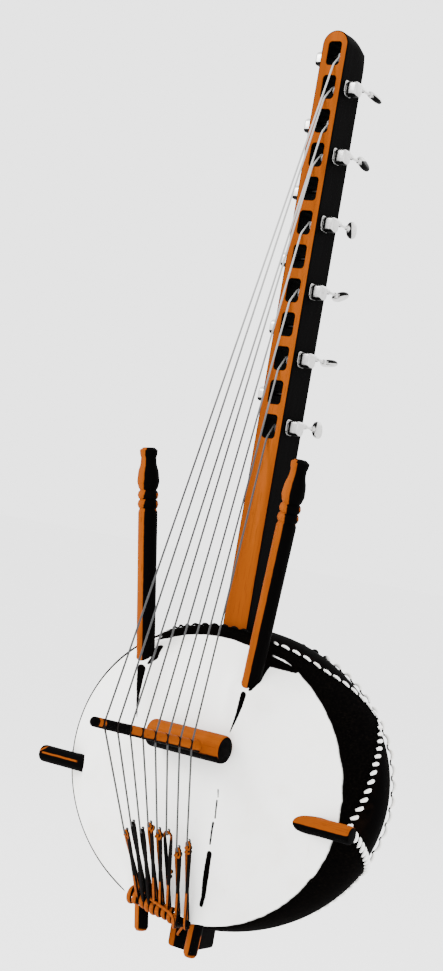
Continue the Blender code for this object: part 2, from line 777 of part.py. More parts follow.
bar_lean = Vector((-sin(radians(BRIDGE_LEAN_SIDE)), -1.0, sin(radians(BRIDGE_LEAN_UP)))).normalized()
bar_root = place(BRIDGE_ROOT_SIDE, skin_top + CLEARANCE + BRIDGE_SEAT_LEFT, BRIDGE_ROOT_UP)
bar_length = BRIDGE_HEIGHT / -bar_lean.y


def bar_profile(grow=0.0):
    root = BRIDGE_ROOT_RADIUS + grow
    tip = BRIDGE_TIP_RADIUS + grow
    return [(-grow, 0.0), (-grow, root), (FOOT_RADIUS * 2, root), (bar_length - 0.003, tip),
            (bar_length - 0.0008, tip * 0.7), (bar_length, 0.0)]


def turned_bar(name, grow, collection=instrument):
    profile = [(along + grow, radius) for along, radius in bar_profile(grow)]
    return to_mesh(turned(name, profile, 16, bar_root - bar_lean * grow, bar_lean, collection))


bridge = turned_bar("bridge_bar", 0.0)
bridge_seat = hide_cutter(turned_bar("bridge_seat", CLEARANCE, cutters))
cut(foot, bridge_seat)
foot = to_mesh(foot)
finish_piece(foot, WOOD, 0.45)
smooth_round(foot, 40)


def bar_radius(along):
    """Radius of the bridge bar at a distance from its root."""
    share = (along - FOOT_RADIUS * 2) / (bar_length - 0.003 - FOOT_RADIUS * 2)
    share = min(1.0, max(0.0, share))
    return BRIDGE_ROOT_RADIUS + (BRIDGE_TIP_RADIUS - BRIDGE_ROOT_RADIUS) * share


bar_out = Vector((1, 0, 0)) - bar_lean * bar_lean.x
bar_out.normalize()


def notch_point(index):
    """Middle of a string where it crosses the bar; 0 is nearest the tip."""
    along = bar_length - NOTCH_FIRST - index * NOTCH_PITCH
    return bar_root + bar_lean * along + bar_out * (bar_radius(along) - NOTCH_DEPTH + STRING_RADIUS)


# Tail bar: a short rod across the tails, which the thong is wound on

bar_wrap = (BAR_RADIUS + CLEARANCE + THONG_RADIUS) / cos(pi / 10)
bar_reach = bar_wrap + THONG_RADIUS


def bar_up_at(x):
    return BAR_UP + x * BAR_SLOPE


def bar_share(x):
    return (x - BAR_LEFT) / (BAR_RIGHT - BAR_LEFT)


def front_below_bar(x, up):
    """How far forward the hide or the left handle's tail reaches behind the bar."""
    tail = handle_point(-1, up)
    if abs(x - tail.x) < HANDLE_TAIL_RADIUS * 1.5:
        return max(crown_rise(x, up), RIM_Y - tail.y + HANDLE_TAIL_RADIUS * 1.02)
    return crown_rise(x, up)


bar_forward = 0.0
for step in range(25):
    sample = BAR_LEFT + (BAR_RIGHT - BAR_LEFT) * step / 24
    for degrees_up in range(-75, 90, 15):
        back = bar_reach * cos(radians(degrees_up))
        over = bar_reach * sin(radians(degrees_up))
        needed = front_below_bar(sample, bar_up_at(sample) + over) + back + CLEARANCE * 2
        bar_forward = max(bar_forward, needed + BAR_SWING * bar_share(sample))


def bar_point(x):
    return place(x, bar_forward - BAR_SWING * bar_share(x), bar_up_at(x))


bar_along = (bar_point(BAR_RIGHT) - bar_point(BAR_LEFT)).normalized()
rod_length = (bar_point(BAR_RIGHT) - bar_point(BAR_LEFT)).length
tail_bar = to_mesh(turned("tail_bar", [
    (0.0, 0.0), (0.0002, BAR_RADIUS * 0.7), (0.0015, BAR_RADIUS), (rod_length - 0.0015, BAR_RADIUS),
    (rod_length - 0.0002, BAR_RADIUS * 0.7), (rod_length, 0.0)], 12, bar_point(BAR_LEFT), bar_along))
finish_piece(tail_bar, DARK_WOOD, 0.4)
smooth_round(tail_bar, 40)


# Tail thong: one leather cord, wound on the bar, that stands up in a loop for each string

front = (Vector((0, -1, 0)) - bar_along * -bar_along.y).normalized()
bar_up = front.cross(bar_along)
if bar_up.z < 0:
    bar_up = -bar_up


def around_bar(x, angle):
    """A point of a turn round the bar; angle 0 is its front and 90 degrees its top."""
    return bar_point(x) + (front * cos(angle) + bar_up * sin(angle)) * bar_wrap


def loop_line(index):
    """Foot on the bar, direction to the string's notch, and tilt of that line to the front."""
    foot_x = LOOP_FEET[index]
    towards = (notch_point(index) - bar_point(foot_x)).normalized()
    return foot_x, towards, atan2(towards.dot(front), towards.dot(bar_up))


thong_points = []
loop_tops = []
first_tilt = loop_line(0)[2]
lead_turns = 1.25
lead_steps = 13
lead_pitch = THONG_RADIUS * 2 + 0.0008
for step in range(lead_steps):
    share = step / lead_steps
    angle = pi - first_tilt + 2 * pi * lead_turns * (1 - share)
    thong_points.append(around_bar(LOOP_FEET[0] - LOOP_LEG - lead_pitch * lead_turns * (1 - share), angle))

for index in range(STRING_COUNT):
    foot_x, rise, tilt = loop_line(index)
    across = (bar_along - rise * bar_along.dot(rise)).normalized()
    top = bar_point(foot_x) + rise * LOOP_LENGTHS[index]
    loop_tops.append((top, rise, across))
    behind = around_bar(foot_x - LOOP_LEG, pi - tilt)
    ahead = around_bar(foot_x + LOOP_LEG, -tilt)
    thong_points.append(behind)
    thong_points.append(behind.lerp(top - across * LOOP_HALF_WIDTH, 0.5))
    for step in range(5):
        angle = pi - pi * step / 4
        thong_points.append(top + (across * cos(angle) + rise * sin(angle)) * LOOP_HALF_WIDTH)
    thong_points.append(ahead.lerp(top + across * LOOP_HALF_WIDTH, 0.5))
    if index == STRING_COUNT - 1:
        thong_points.append(ahead)
        break
    wrap_end = -pi - loop_line(index + 1)[2]
    wrap_length = LOOP_FEET[index + 1] - foot_x - LOOP_LEG * 2
    for step in range(5):
        share = step / 5
        wrap_x = foot_x + LOOP_LEG + wrap_length * share
        thong_points.append(around_bar(wrap_x, -tilt + (wrap_end + tilt) * share))

hole = Vector((THONG_HOLE_SIDE, 0.0, BOWL_Z + thong_hole_up))
stop_y = CLEARANCE * 2 + THONG_RADIUS - HELD_STEP
ahead = thong_points[-1]
thong_points += smooth_route([
    ahead,
    ahead.lerp(hole + Vector((0, NECK_FACE_Y - 0.012, 0)), 0.35) + Vector((0.001, -0.001, -0.004)),
    hole + Vector((0.003, NECK_FACE_Y - 0.011, 0.003)),
    hole + Vector((0.0, NECK_FACE_Y - 0.004, 0)),
    hole + Vector((0.0, NECK_FACE_Y + 0.003, 0)),
], 3)[1:]
thong_points.append(hole + Vector((0, -0.0035, 0)))
thong_points.append(hole + Vector((0, stop_y - 0.0012, 0.0006)))
for step in range(10):
    angle = radians(90 - 36 * step)
    reach = THONG_STOP_RADIUS
    thong_points.append(hole + Vector((reach * cos(angle), stop_y + 0.00045 * step, reach * sin(angle))))
thong = finish_piece(tube("tail_thong", thong_points, THONG_RADIUS, 1), THONG, 0.55)
print_least_gap("tail_thong", thong_points, THONG_RADIUS)


# Tuning machines: a housing, a worm shaft with its button, and a string post with its gear

gear_out = half_neck + CLEARANCE + HOUSING_STAND / 2
worm_rise = GEAR_RADIUS + WORM_RADIUS + CLEARANCE
housing_outer = half_neck + CLEARANCE + HOUSING_STAND
housing_front = post_y - GEAR_RADIUS - CLEARANCE - HOUSING_WALL
housing_back = housing_front + HOUSING_LENGTH
housing_low = -(GEAR_RADIUS + CLEARANCE + HOUSING_WALL)
housing_high = worm_rise + WORM_RADIUS + CLEARANCE + HOUSING_WALL
ferrule_end = housing_back + FERRULE_LENGTH
button_near = BUTTON_START
button_far = BUTTON_START + BUTTON_LENGTH


def housing_mesh():
    """A right housing about its post's axis, open towards the neck, with a ferrule for the shaft."""
    def box_between(low, high):
        def build(shape):
            bmesh.ops.create_cube(shape, size=1.0)
            for vert in shape.verts:
                vert.co = Vector([low[i] + (vert.co[i] + 0.5) * (high[i] - low[i]) for i in range(3)])
        return build

    room_wall = HOUSING_WALL
    box = mesh_from("housing_box", box_between(
        (half_neck - HOUSING_ROUND, housing_front - post_y, housing_low),
        (housing_outer, housing_back - post_y, housing_high)), cutters)
    rounding = box.modifiers.new("rounding", "BEVEL")
    rounding.width = HOUSING_ROUND
    rounding.segments = 1
    box = to_mesh(box)
    room = hide_cutter(mesh_from("housing_room", box_between(
        (half_neck - 0.010, housing_front - post_y + room_wall, housing_low + room_wall),
        (housing_outer - room_wall * 1.4, housing_back - post_y - room_wall, housing_high - room_wall)), cutters))
    foot_trim = hide_cutter(mesh_from("housing_foot", box_between(
        (half_neck - 0.020, housing_front - post_y - 0.010, housing_low - 0.010),
        (half_neck + CLEARANCE, housing_back - post_y + 0.010, housing_high + 0.010)), cutters))
    wall_middle = housing_back - post_y - HOUSING_WALL / 2
    length = FERRULE_LENGTH + HOUSING_WALL / 2
    ferrule = hide_cutter(to_mesh(turned("ferrule", [
        (0.0, 0.0), (0.0, FERRULE_RADIUS), (length * 0.6, FERRULE_RADIUS), (length, FERRULE_RADIUS * 0.8),
        (length, 0.0)], 8, Vector((gear_out, wall_middle, worm_rise)), Vector((0, 1, 0)), cutters)))
    bore = hide_cutter(to_mesh(turned("bore", [
        (0.0, 0.0), (0.0, SHAFT_RADIUS + CLEARANCE), (length * 2, SHAFT_RADIUS + CLEARANCE), (length * 2, 0.0)],
        8, Vector((gear_out, wall_middle - HOUSING_WALL * 2, worm_rise)), Vector((0, 1, 0)), cutters)))
    cut(box, foot_trim)
    cut(box, ferrule, "UNION")
    cut(box, room)
    cut(box, bore)
    return hide_cutter(to_mesh(box)).data


def shaft_mesh():
    """Worm shaft and button about the shaft's axis, which runs back along +Y from the post."""
    shaft_start = housing_front + HOUSING_WALL + CLEARANCE - post_y
    worm_start = -WORM_LENGTH / 2
    near = button_near - post_y
    profile = [(shaft_start, 0.0), (shaft_start, SHAFT_RADIUS), (worm_start, SHAFT_RADIUS),
               (worm_start, WORM_RADIUS), (worm_start + WORM_LENGTH, WORM_RADIUS),
               (worm_start + WORM_LENGTH, SHAFT_RADIUS), (near - 0.004, SHAFT_RADIUS),
               (near - 0.003, SHAFT_RADIUS * 1.7), (near + 0.003, SHAFT_RADIUS * 1.7), (near + 0.003, 0.0)]
    first = profile[0][0]
    shaft = turned("shaft", [(along - first, radius) for along, radius in profile], 8,
                   Vector((0, first, 0)), Vector((0, 1, 0)), cutters)
    shaft = to_mesh(shaft)

    def build(shape):
        bmesh.ops.create_cone(shape, cap_ends=True, segments=10, radius1=0.5, radius2=0.5, depth=1.0)
        for vert in shape.verts:
            x, y, z = vert.co
            pinch = 1.0 - 0.16 * (0.5 - y)
            vert.co = Vector((x * BUTTON_WIDTH * pinch, near + (y + 0.5) * BUTTON_LENGTH, z * BUTTON_THICKNESS))
        bmesh.ops.recalc_face_normals(shape, faces=shape.faces)

    wing = mesh_from("wing", build, cutters)
    add_bevel(wing, BUTTON_THICKNESS * 0.32, 1, 50)
    wing = hide_cutter(to_mesh(wing))
    cut(shaft, wing, "UNION")
    shaft = hide_cutter(to_mesh(shaft))
    return shaft.data


def post_mesh():
    """Right post and gear about the post's axis, with the gear inside the housing."""
    gear_far = gear_out + GEAR_THICKNESS / 2
    post_end = -(SLOT_WIDTH / 2 - POST_SHORT)
    length = gear_far - post_end
    profile = [(0.0, 0.0), (0.0, GEAR_RADIUS), (GEAR_THICKNESS, GEAR_RADIUS), (GEAR_THICKNESS, POST_RADIUS),
               (length - 0.0006, POST_RADIUS), (length, POST_RADIUS * 0.75), (length, 0.0)]
    post = turned("post_shape", profile, 10, Vector((gear_far, 0, 0)), Vector((-1, 0, 0)), cutters)
    return hide_cutter(to_mesh(post)).data


housing_shape = housing_mesh()
post_shape = post_mesh()
shaft_shape = shaft_mesh()


def placed_copy(name, mesh, spot, turn):
    """A separate piece from a shared shape whose mesh was made round its own matrix."""
    made = new_object(name, mesh.copy())
    made.matrix_world = Matrix.Translation(spot) @ turn
    return made


shape_matrix = {piece.data.name: piece.matrix_world.copy() for piece in cutters.objects}

for number in range(1, SLOT_COUNT + 1):
    side = machine_side(number)
    label = "%02d" % number
    half_turn = Matrix.Rotation(0.0 if side > 0 else pi, 4, "Y")
    post_spot = Vector((0.0, post_y, slot_height(number)))
    shaft_spot = post_spot + Vector((side * gear_out, 0.0, side * worm_rise))
    housing = placed_copy("housing_" + label, housing_shape, post_spot, half_turn)
    finish_piece(housing, NICKEL, 0.25, 1.0)
    smooth_round(housing, 40)
    post = placed_copy("post_" + label, post_shape, post_spot, half_turn @ shape_matrix[post_shape.name])
    finish_piece(post, NICKEL, 0.3, 1.0)
    smooth_round(post, 40)
    turn = Matrix.Rotation(radians(BUTTON_TURNS[number - 1]), 4, "Y")
    button = placed_copy("button_" + label, shaft_shape, shaft_spot, turn @ shape_matrix[shaft_shape.name])
    finish_piece(button, NICKEL, 0.2, 1.0)
    smooth_round(button, 40)


# Strings: from the turns on a post, over the edge of its slot and a notch of the bridge, to an eye

wind = (POST_RADIUS + CLEARANCE + STRING_RADIUS) / cos(pi / 9)
wind_pitch = STRING_RADIUS * 2 + 0.0010
eye = THONG_RADIUS + CLEARANCE * 1.5 + STRING_RADIUS
for index, slot_number in enumerate(STRING_SLOTS):
    side = machine_side(slot_number)
    middle = Vector((0.0, post_y, slot_height(slot_number)))
    notch = notch_point(index)
    edge = Vector((0.0, NECK_FACE_Y, middle.z - SLOT_LENGTH / 2))
    to_notch = Vector((0.0, notch.y - edge.y, notch.z - edge.z)).normalized()
    to_post = (middle + Vector((0.0, 0.0, wind)) - edge).normalized()
    off_edge = (STRING_RADIUS + CLEARANCE * 1.5) / sin(to_notch.angle(to_post) / 2)
    bend = edge - (to_notch + to_post).normalized() * off_edge
    reach = hypot(bend.y - middle.y, bend.z - middle.z)
    leave = atan2(bend.z - middle.z, bend.y - middle.y) - acos(wind / reach)
    points = []
    steps = 9
    count = round(STRING_TURNS * steps)
    for step in range(count, -1, -1):
        angle = leave - 2 * pi * step / steps
        x = side * wind_pitch * (step / steps - STRING_TURNS / 2)
        points.append(middle + Vector((x, wind * cos(angle), wind * sin(angle))))
    share = (bend - middle).length / (notch - middle).length
    bend.x = points[-1].x + (notch.x - points[-1].x) * share
    points.append(bend)
    points.append(notch)
    top, rise, across = loop_tops[index]
    held = top + rise * LOOP_HALF_WIDTH
    aside = across.cross(rise)
    for step in range(8):
        angle = radians(EYE_TURN) * step / 7
        points.append(held + (aside * cos(angle) - rise * sin(angle)) * eye)
    name = "string_%d" % (index + 1)
    finish_piece(tube(name, points, STRING_RADIUS, 1), NYLON, 0.3)
    print_least_gap(name, points, STRING_RADIUS)
    above = notch + (bend - notch).normalized() * BRIDGE_ROOT_RADIUS * 3
    below = notch + (points[-8] - notch).normalized() * BRIDGE_ROOT_RADIUS * 3
    groove = tube("notch_%d" % (index + 1), [above, notch, below], STRING_RADIUS + CLEARANCE * 1.6, 1,
                  False, cutters)
    cut(bridge, hide_cutter(to_mesh(groove)))

bridge = to_mesh(bridge)
finish_piece(bridge, WOOD, 0.4)
smooth_round(bridge, 40)
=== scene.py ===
from math import acos, atan2, cos, exp, hypot, pi, radians, sin, sqrt
import bmesh
import bpy
from mathutils import Matrix, Vector


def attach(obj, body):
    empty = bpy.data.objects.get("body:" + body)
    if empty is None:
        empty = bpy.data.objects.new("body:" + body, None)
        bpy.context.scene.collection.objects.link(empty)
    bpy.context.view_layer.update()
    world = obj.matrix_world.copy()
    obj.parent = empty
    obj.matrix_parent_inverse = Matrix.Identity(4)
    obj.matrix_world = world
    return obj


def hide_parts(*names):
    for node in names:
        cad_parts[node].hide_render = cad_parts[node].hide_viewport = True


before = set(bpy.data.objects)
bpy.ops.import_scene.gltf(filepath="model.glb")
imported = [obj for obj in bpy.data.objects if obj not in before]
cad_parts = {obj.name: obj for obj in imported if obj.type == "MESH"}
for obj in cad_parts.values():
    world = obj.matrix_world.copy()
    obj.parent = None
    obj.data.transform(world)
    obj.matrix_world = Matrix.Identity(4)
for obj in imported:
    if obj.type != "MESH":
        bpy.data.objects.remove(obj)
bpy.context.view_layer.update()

# View, floor and light. The instrument hangs by the back of its neck over a plain pale floor. It is seen
# from its right and from a little below its middle, and leans in the view. A large soft lamp stands in
# front of it to the upper left, and a pale room fills the shade.
eye = Vector((1.284, -2.132, 0.0307))
view_right = Vector((0.8297, 0.5315, 0.1704)).normalized()
view_back = view_right.cross(Vector((-0.1336, -0.1074, 0.9852))).normalized()
view_up = view_back.cross(view_right)
camera = bpy.data.objects.new("camera", bpy.data.cameras.new("camera"))
camera.data.lens = 69.38
camera.matrix_world = Matrix.Translation(eye) @ Matrix((view_right, view_up, view_back)).transposed().to_4x4()
bpy.context.scene.collection.objects.link(camera)
bpy.context.scene.camera = camera

for name, spot, size, power in (
    ("lamp_key", (-1.9, -2.6, 2.1), 1.4, 170.0),
    ("lamp_fill", (2.8, -2.4, 0.4), 2.0, 20.0),
    ("lamp_back", (0.6, 2.6, 2.0), 2.0, 25.0),
):
    lamp = bpy.data.objects.new(name, bpy.data.lights.new(name, "AREA"))
    lamp.data.size = size
    lamp.data.energy = power
    lamp.location = spot
    lamp.rotation_mode = "QUATERNION"
    lamp.rotation_quaternion = Vector(spot).to_track_quat("Z", "Y")
    bpy.context.scene.collection.objects.link(lamp)

room = bpy.data.worlds.new("room")
room.use_nodes = True
room.node_tree.nodes["Background"].inputs["Color"].default_value = (1.0, 1.0, 1.0, 1.0)
room.node_tree.nodes["Background"].inputs["Strength"].default_value = 3.0
bpy.context.scene.world = room

floor_shape = bpy.data.meshes.new("floor")
floor_shape.from_pydata([(-40, -40, -0.9), (40, -40, -0.9), (40, 40, -0.9), (-40, 40, -0.9)], [], [(0, 1, 2, 3)])
floor_paint = bpy.data.materials.new("floor")
floor_paint.use_nodes = True
floor_paint.node_tree.nodes["Principled BSDF"].inputs["Base Color"].default_value = (0.96, 0.96, 0.96, 1.0)
floor_paint.node_tree.nodes["Principled BSDF"].inputs["Roughness"].default_value = 1.0
floor_shape.materials.append(floor_paint)
floor = bpy.data.objects.new("floor", floor_shape)
bpy.context.scene.collection.objects.link(floor)


# Neck. One long slab of hardwood with a round top, planed and oiled on its face; its sides and back are
# painted nearly black as shade, with a painted dark line along the face's edge and a painted shadow over the
# face of the tail but for a strip at its left. It runs right through the calabash and comes out as a short
# tail. Twelve slots are cut through it for the posts, with rounded corners and painted shade inside.
class Tone:
    """A number that changes over a surface. Arithmetic on it adds Math nodes."""

    def __init__(self, finish, socket):
        self.finish = finish
        self.socket = socket

    def join(self, operation, first, second):
        return self.finish.node("ShaderNodeMath", {"operation": operation}, {0: first, 1: second})

    def __add__(self, other):
        return self.join("ADD", self, other)

    def __radd__(self, other):
        return self.join("ADD", other, self)

    def __sub__(self, other):
        return self.join("SUBTRACT", self, other)

    def __rsub__(self, other):
        return self.join("SUBTRACT", other, self)

    def __mul__(self, other):
        return self.join("MULTIPLY", self, other)

    def __rmul__(self, other):
        return self.join("MULTIPLY", other, self)

    def __truediv__(self, other):
        return self.join("DIVIDE", self, other)

    def __rtruediv__(self, other):
        return self.join("DIVIDE", other, self)


class Finish:
    """The surface of one piece: a shader, and the nodes that vary it."""

    def __init__(self, name, **fixed):
        self.material = bpy.data.materials.new(name)
        self.material.use_nodes = True
        self.tree = self.material.node_tree
        self.shader = self.tree.nodes["Principled BSDF"]
        self.spot = self.node("ShaderNodeTexCoord", out="Object")
        for socket, value in fixed.items():
            self.shader.inputs[socket.replace("_", " ")].default_value = value

    def node(self, kind, settings=None, sockets=None, out=0):
        """Adds any node: its settings first, then the values or links of its sockets."""
        made = self.tree.nodes.new(kind)
        for key, value in (settings or {}).items():
            setattr(made, key, value)
        for key, value in (sockets or {}).items():
            self.feed(made.inputs[key], value)
        return Tone(self, made.outputs[out])

    def feed(self, socket, value):
        if isinstance(value, Tone):
            self.tree.links.new(value.socket, socket)
        else:
            socket.default_value = value

    def along(self, axis):
        """The distance along one axis of the instrument."""
        return self.node("ShaderNodeSeparateXYZ", None, {0: self.spot}, out=axis)

    def stretched(self, x, y, z):
        """The place on the piece, squeezed along some axes so that a pattern runs long there."""
        return self.node("ShaderNodeMapping", None, {"Vector": self.spot, "Scale": (x, y, z)})

    def noise(self, scale, detail=3.0, rough=0.5, where=None):
        return self.node("ShaderNodeTexNoise", None, {
            "Vector": where or self.spot, "Scale": scale, "Detail": detail, "Roughness": rough})

    def step(self, value, low, high):
        """0 below low, 1 above high, smooth between."""
        return self.node("ShaderNodeMapRange", {"interpolation_type": "SMOOTHSTEP"},
                         {"Value": value, "From Min": low, "From Max": high})

    def either(self, first, second):
        return self.node("ShaderNodeMath", {"operation": "MAXIMUM"}, {0: first, 1: second})

    def colour(self, mask, first, second):
        """One colour where the mask is 0 and the other where it is 1."""
        full = [c if isinstance(c, Tone) else (*c, 1.0) for c in (first, second)]
        return self.node("ShaderNodeMix", {"data_type": "RGBA"}, {0: mask, 6: full[0], 7: full[1]}, out=2)

    def facing(self, direction):
        """How far the surface faces a direction of the piece."""
        normal = self.node("ShaderNodeTexCoord", out="Normal")
        return self.node("ShaderNodeVectorMath", {"operation": "DOT_PRODUCT"}, {0: normal, 1: direction}, out="Value")

    def off_axis(self, start, direction):
        """Distance along an axis of the piece from its start."""
        away = self.node("ShaderNodeVectorMath", {"operation": "SUBTRACT"}, {0: self.spot, 1: tuple(start)})
        return self.node("ShaderNodeVectorMath", {"operation": "DOT_PRODUCT"}, {0: away, 1: tuple(direction)},
                         out="Value")

    def paint(self, colour=None, roughness=None, height=None, depth=0.0005, strength=0.4):
        for socket, value in (("Base Color", colour), ("Roughness", roughness)):
            if value is not None:
                self.feed(self.shader.inputs[socket], value)
        if height is not None:
            bump = self.node("ShaderNodeBump", None, {"Height": height, "Strength": strength, "Distance": depth})
            self.feed(self.shader.inputs["Normal"], bump)
        return self


WOOD_LIGHT = (0.205, 0.046, 0.0032)
WOOD_DEEP = (0.150, 0.031, 0.0020)
WOOD_PORE = (0.060, 0.012, 0.0010)
# Near-black used for painted shade on the wood, and as the tail bar's own dark stain; streaks lighten it a little.
SHADE_AND_STAIN_BLACK = (0.0006, 0.0005, 0.0005)
SHADE_AND_STAIN_STREAKS = (0.0032, 0.0018, 0.0012)


def oiled_wood(name, grain, shade=None):
    """Orange-brown wood whose grain runs along X, Y or Z; shade gives where it is painted near-black: painted shade on
    most pieces, the rod's own dark stain on the tail bar.
    """
    finish = Finish(name, Specular_IOR_Level=0.008)
    run = [0.05 if axis == grain else 1.0 for axis in "XYZ"]
    along = finish.stretched(*run)
    bands = finish.noise(34, 3, 0.55, along)
    streaks = finish.noise(190, 5, 0.65, along)
    pores = finish.step(finish.noise(620, 2, 0.5, along), 0.58, 0.72)
    colour = finish.colour(finish.step(bands, 0.35, 0.68), WOOD_DEEP, WOOD_LIGHT)
    colour = finish.colour(finish.step(streaks, 0.50, 0.75) * 0.30, colour, WOOD_DEEP)
    colour = finish.colour(pores * 0.40, colour, WOOD_PORE)
    rough = 0.46 + streaks * 0.16
    if shade is not None:
        # Where the mask is 1 the wood is painted near-black: painted shade on most pieces, the own stain on the tail
        # bar.
        mask = shade(finish)
        colour = finish.colour(mask, colour, finish.colour(finish.step(streaks, 0.58, 0.80) * 0.5, SHADE_AND_STAIN_BLACK, SHADE_AND_STAIN_STREAKS))
        rough = rough + mask * 0.10
    return finish.paint(colour, rough, streaks * 0.6 + pores * -0.5, 0.0004, 0.35)


def settle(piece, finish, slot_name, body, *nodes):
    """Finishes a new piece, fixes it to its body and lets it stand for the frame's plainer solids."""
    piece.data.materials.clear()
    piece.data.materials.append(finish.material)
    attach(piece, body)
    if nodes:
        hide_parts(*nodes)
    return piece


def piece_from(name, shape, sharp=40.0):
    """A new piece from a finished bmesh, smooth but for its sharp edges."""
    mesh = bpy.data.meshes.new(name)
    shape.to_mesh(mesh)
    shape.free()
    mesh.shade_smooth()
    mesh.set_sharp_from_angle(angle=radians(sharp))
    piece = bpy.data.objects.new(name, mesh)
    bpy.context.scene.collection.objects.link(piece)
    return piece


def made_plain(piece, sharp=35.0):
    """The piece as a plain mesh, with its place and its modifiers worked in."""
    bpy.context.view_layer.update()
    mesh = bpy.data.meshes.new_from_object(piece.evaluated_get(bpy.context.evaluated_depsgraph_get()))
    mesh.transform(piece.matrix_world)
    name = piece.name
    bpy.data.objects.remove(piece, do_unlink=True)
    mesh.shade_smooth()
    mesh.set_sharp_from_angle(angle=radians(sharp))
    mesh.name = name
    made = bpy.data.objects.new(name, mesh)
    bpy.context.scene.collection.objects.link(made)
    return made


def cut_away(piece, cutters, sharp=35.0):
    """Cuts other shapes out of a piece, and clears them away."""
    for cutter in cutters:
        cut = piece.modifiers.new(cutter.name, "BOOLEAN")
        cut.operation = "DIFFERENCE"
        cut.object = cutter
    piece = made_plain(piece, sharp)
    for cutter in cutters:
        bpy.data.objects.remove(cutter, do_unlink=True)
    return piece


CLEARANCE = 0.0003
NECK_WIDTH, NECK_DEPTH, TAIL_EDGE = 0.038, 0.052, 0.0050
NECK_TOP, NECK_TAIL, HEAD_LOW, HEAD_FALL = 0.6899, -0.528, 0.648, 0.0135
SLOT_FIRST, SLOT_PITCH = 0.0306, 0.0452
SLOT_WIDTH, SLOT_LENGTH, SLOT_CORNER = 0.020, 0.032, 0.005
POST_BACK, POST_RADIUS = 0.0200, 0.0030
THONG_RADIUS = 0.0018
half_neck = NECK_WIDTH / 2
post_y = -NECK_DEPTH + POST_BACK
thong_hole = Vector((-0.004, 0.0, -0.510))


def slot_height(number):
    """Height of the middle of a slot; slot 1 is at the top."""
    return NECK_TOP - SLOT_FIRST - (number - 1) * SLOT_PITCH


def machine_side(number):
    return 1 if number % 2 == 0 else -1


def rounded_corners(half_width, low, high, corner, steps):
    """Outline of a board or an opening with rounded corners, anticlockwise, in X and Z."""
    points = []
    for quarter, (side, end) in enumerate(((1, high), (-1, high), (-1, low), (1, low))):
        upward = -1 if end == high else 1
        for n in range(steps + 1):
            angle = (quarter + n / steps) * pi / 2
            points.append((side * (half_width - corner) + corner * cos(angle), end + upward * corner + corner * sin(angle)))
    return points


def slotted_board():
    """The neck's slab with its round top and its slots, all edges a little rounded."""
    tail = rounded_corners(half_neck, NECK_TAIL, NECK_TOP, TAIL_EDGE, 4)[10:]
    head = [(half_neck * cos(pi * n / 40), NECK_TOP - half_neck + half_neck * sin(pi * n / 40)) for n in range(41)]
    outlines = [tail + head]
    for number in range(1, 13):
        middle = slot_height(number)
        outlines.append(rounded_corners(SLOT_WIDTH / 2, middle - SLOT_LENGTH / 2, middle + SLOT_LENGTH / 2,
                                        SLOT_CORNER, 6))
    curve = bpy.data.curves.new("neck_board", "CURVE")
    curve.dimensions = "2D"
    curve.fill_mode = "BOTH"
    curve.bevel_depth = 0.0008
    curve.bevel_resolution = 2
    curve.offset = -curve.bevel_depth
    curve.extrude = NECK_DEPTH / 2 - curve.bevel_depth
    for outline in outlines:
        spline = curve.splines.new("POLY")
        spline.points.add(len(outline) - 1)
        for point, (x, z) in zip(spline.points, outline):
            point.co = (x, z, 0.0, 1.0)
        spline.use_cyclic_u = True
    board = bpy.data.objects.new("neck_board", curve)
    board.location.y = -NECK_DEPTH / 2
    board.rotation_euler = (pi / 2, 0, 0)
    bpy.context.scene.collection.objects.link(board)
    board = made_plain(board, 30)
    shape = bmesh.new()
    shape.from_mesh(board.data)
    for n in range(1, 12):
        bmesh.ops.bisect_plane(shape, geom=shape.verts[:] + shape.edges[:] + shape.faces[:], dist=0.00001,
                               plane_co=(0, -NECK_DEPTH * n / 12, 0), plane_no=(0, 1, 0))
    for n in range(8):
        bmesh.ops.bisect_plane(shape, geom=shape.verts[:] + shape.edges[:] + shape.faces[:], dist=0.00001,
                               plane_co=(0, 0, HEAD_LOW + 0.0028 * n), plane_no=(0, 0, 1))
    centre = NECK_TOP - half_neck
    for vert in shape.verts:
        over = (vert.co.z - centre) / half_neck
        outside = abs(vert.co.x) > half_neck - 0.003 if over < 0 else hypot(vert.co.x, vert.co.z - centre) > half_neck - 0.003
        if vert.co.z > HEAD_LOW and outside:
            share = max(0.0, (1 + vert.co.y / NECK_DEPTH - 0.35) / 0.65)
            vert.co.x *= 1 - 0.30 * ((vert.co.z - HEAD_LOW) / (NECK_TOP - HEAD_LOW)) ** 1.6 * share ** 3
            vert.co.z -= HEAD_FALL * max(0.0, over) * share ** 2.4
    bpy.data.objects.remove(board, do_unlink=True)
    return piece_from("neck_board", shape, 30)


drills = bmesh.new()
for number in range(1, 13):
    spot = Vector((machine_side(number) * half_neck, post_y, slot_height(number)))
    bmesh.ops.create_cone(drills, cap_ends=True, segments=24, radius1=POST_RADIUS + CLEARANCE,
                          radius2=POST_RADIUS + CLEARANCE, depth=half_neck * 1.6,
                          matrix=Matrix.Translation(spot) @ Matrix.Rotation(pi / 2, 4, "Y"))
bmesh.ops.create_cone(drills, cap_ends=True, segments=24, radius1=THONG_RADIUS + CLEARANCE,
                      radius2=THONG_RADIUS + CLEARANCE, depth=NECK_DEPTH * 2,
                      matrix=Matrix.Translation(thong_hole + Vector((0, -NECK_DEPTH / 2, 0)))
                      @ Matrix.Rotation(pi / 2, 4, "X"))


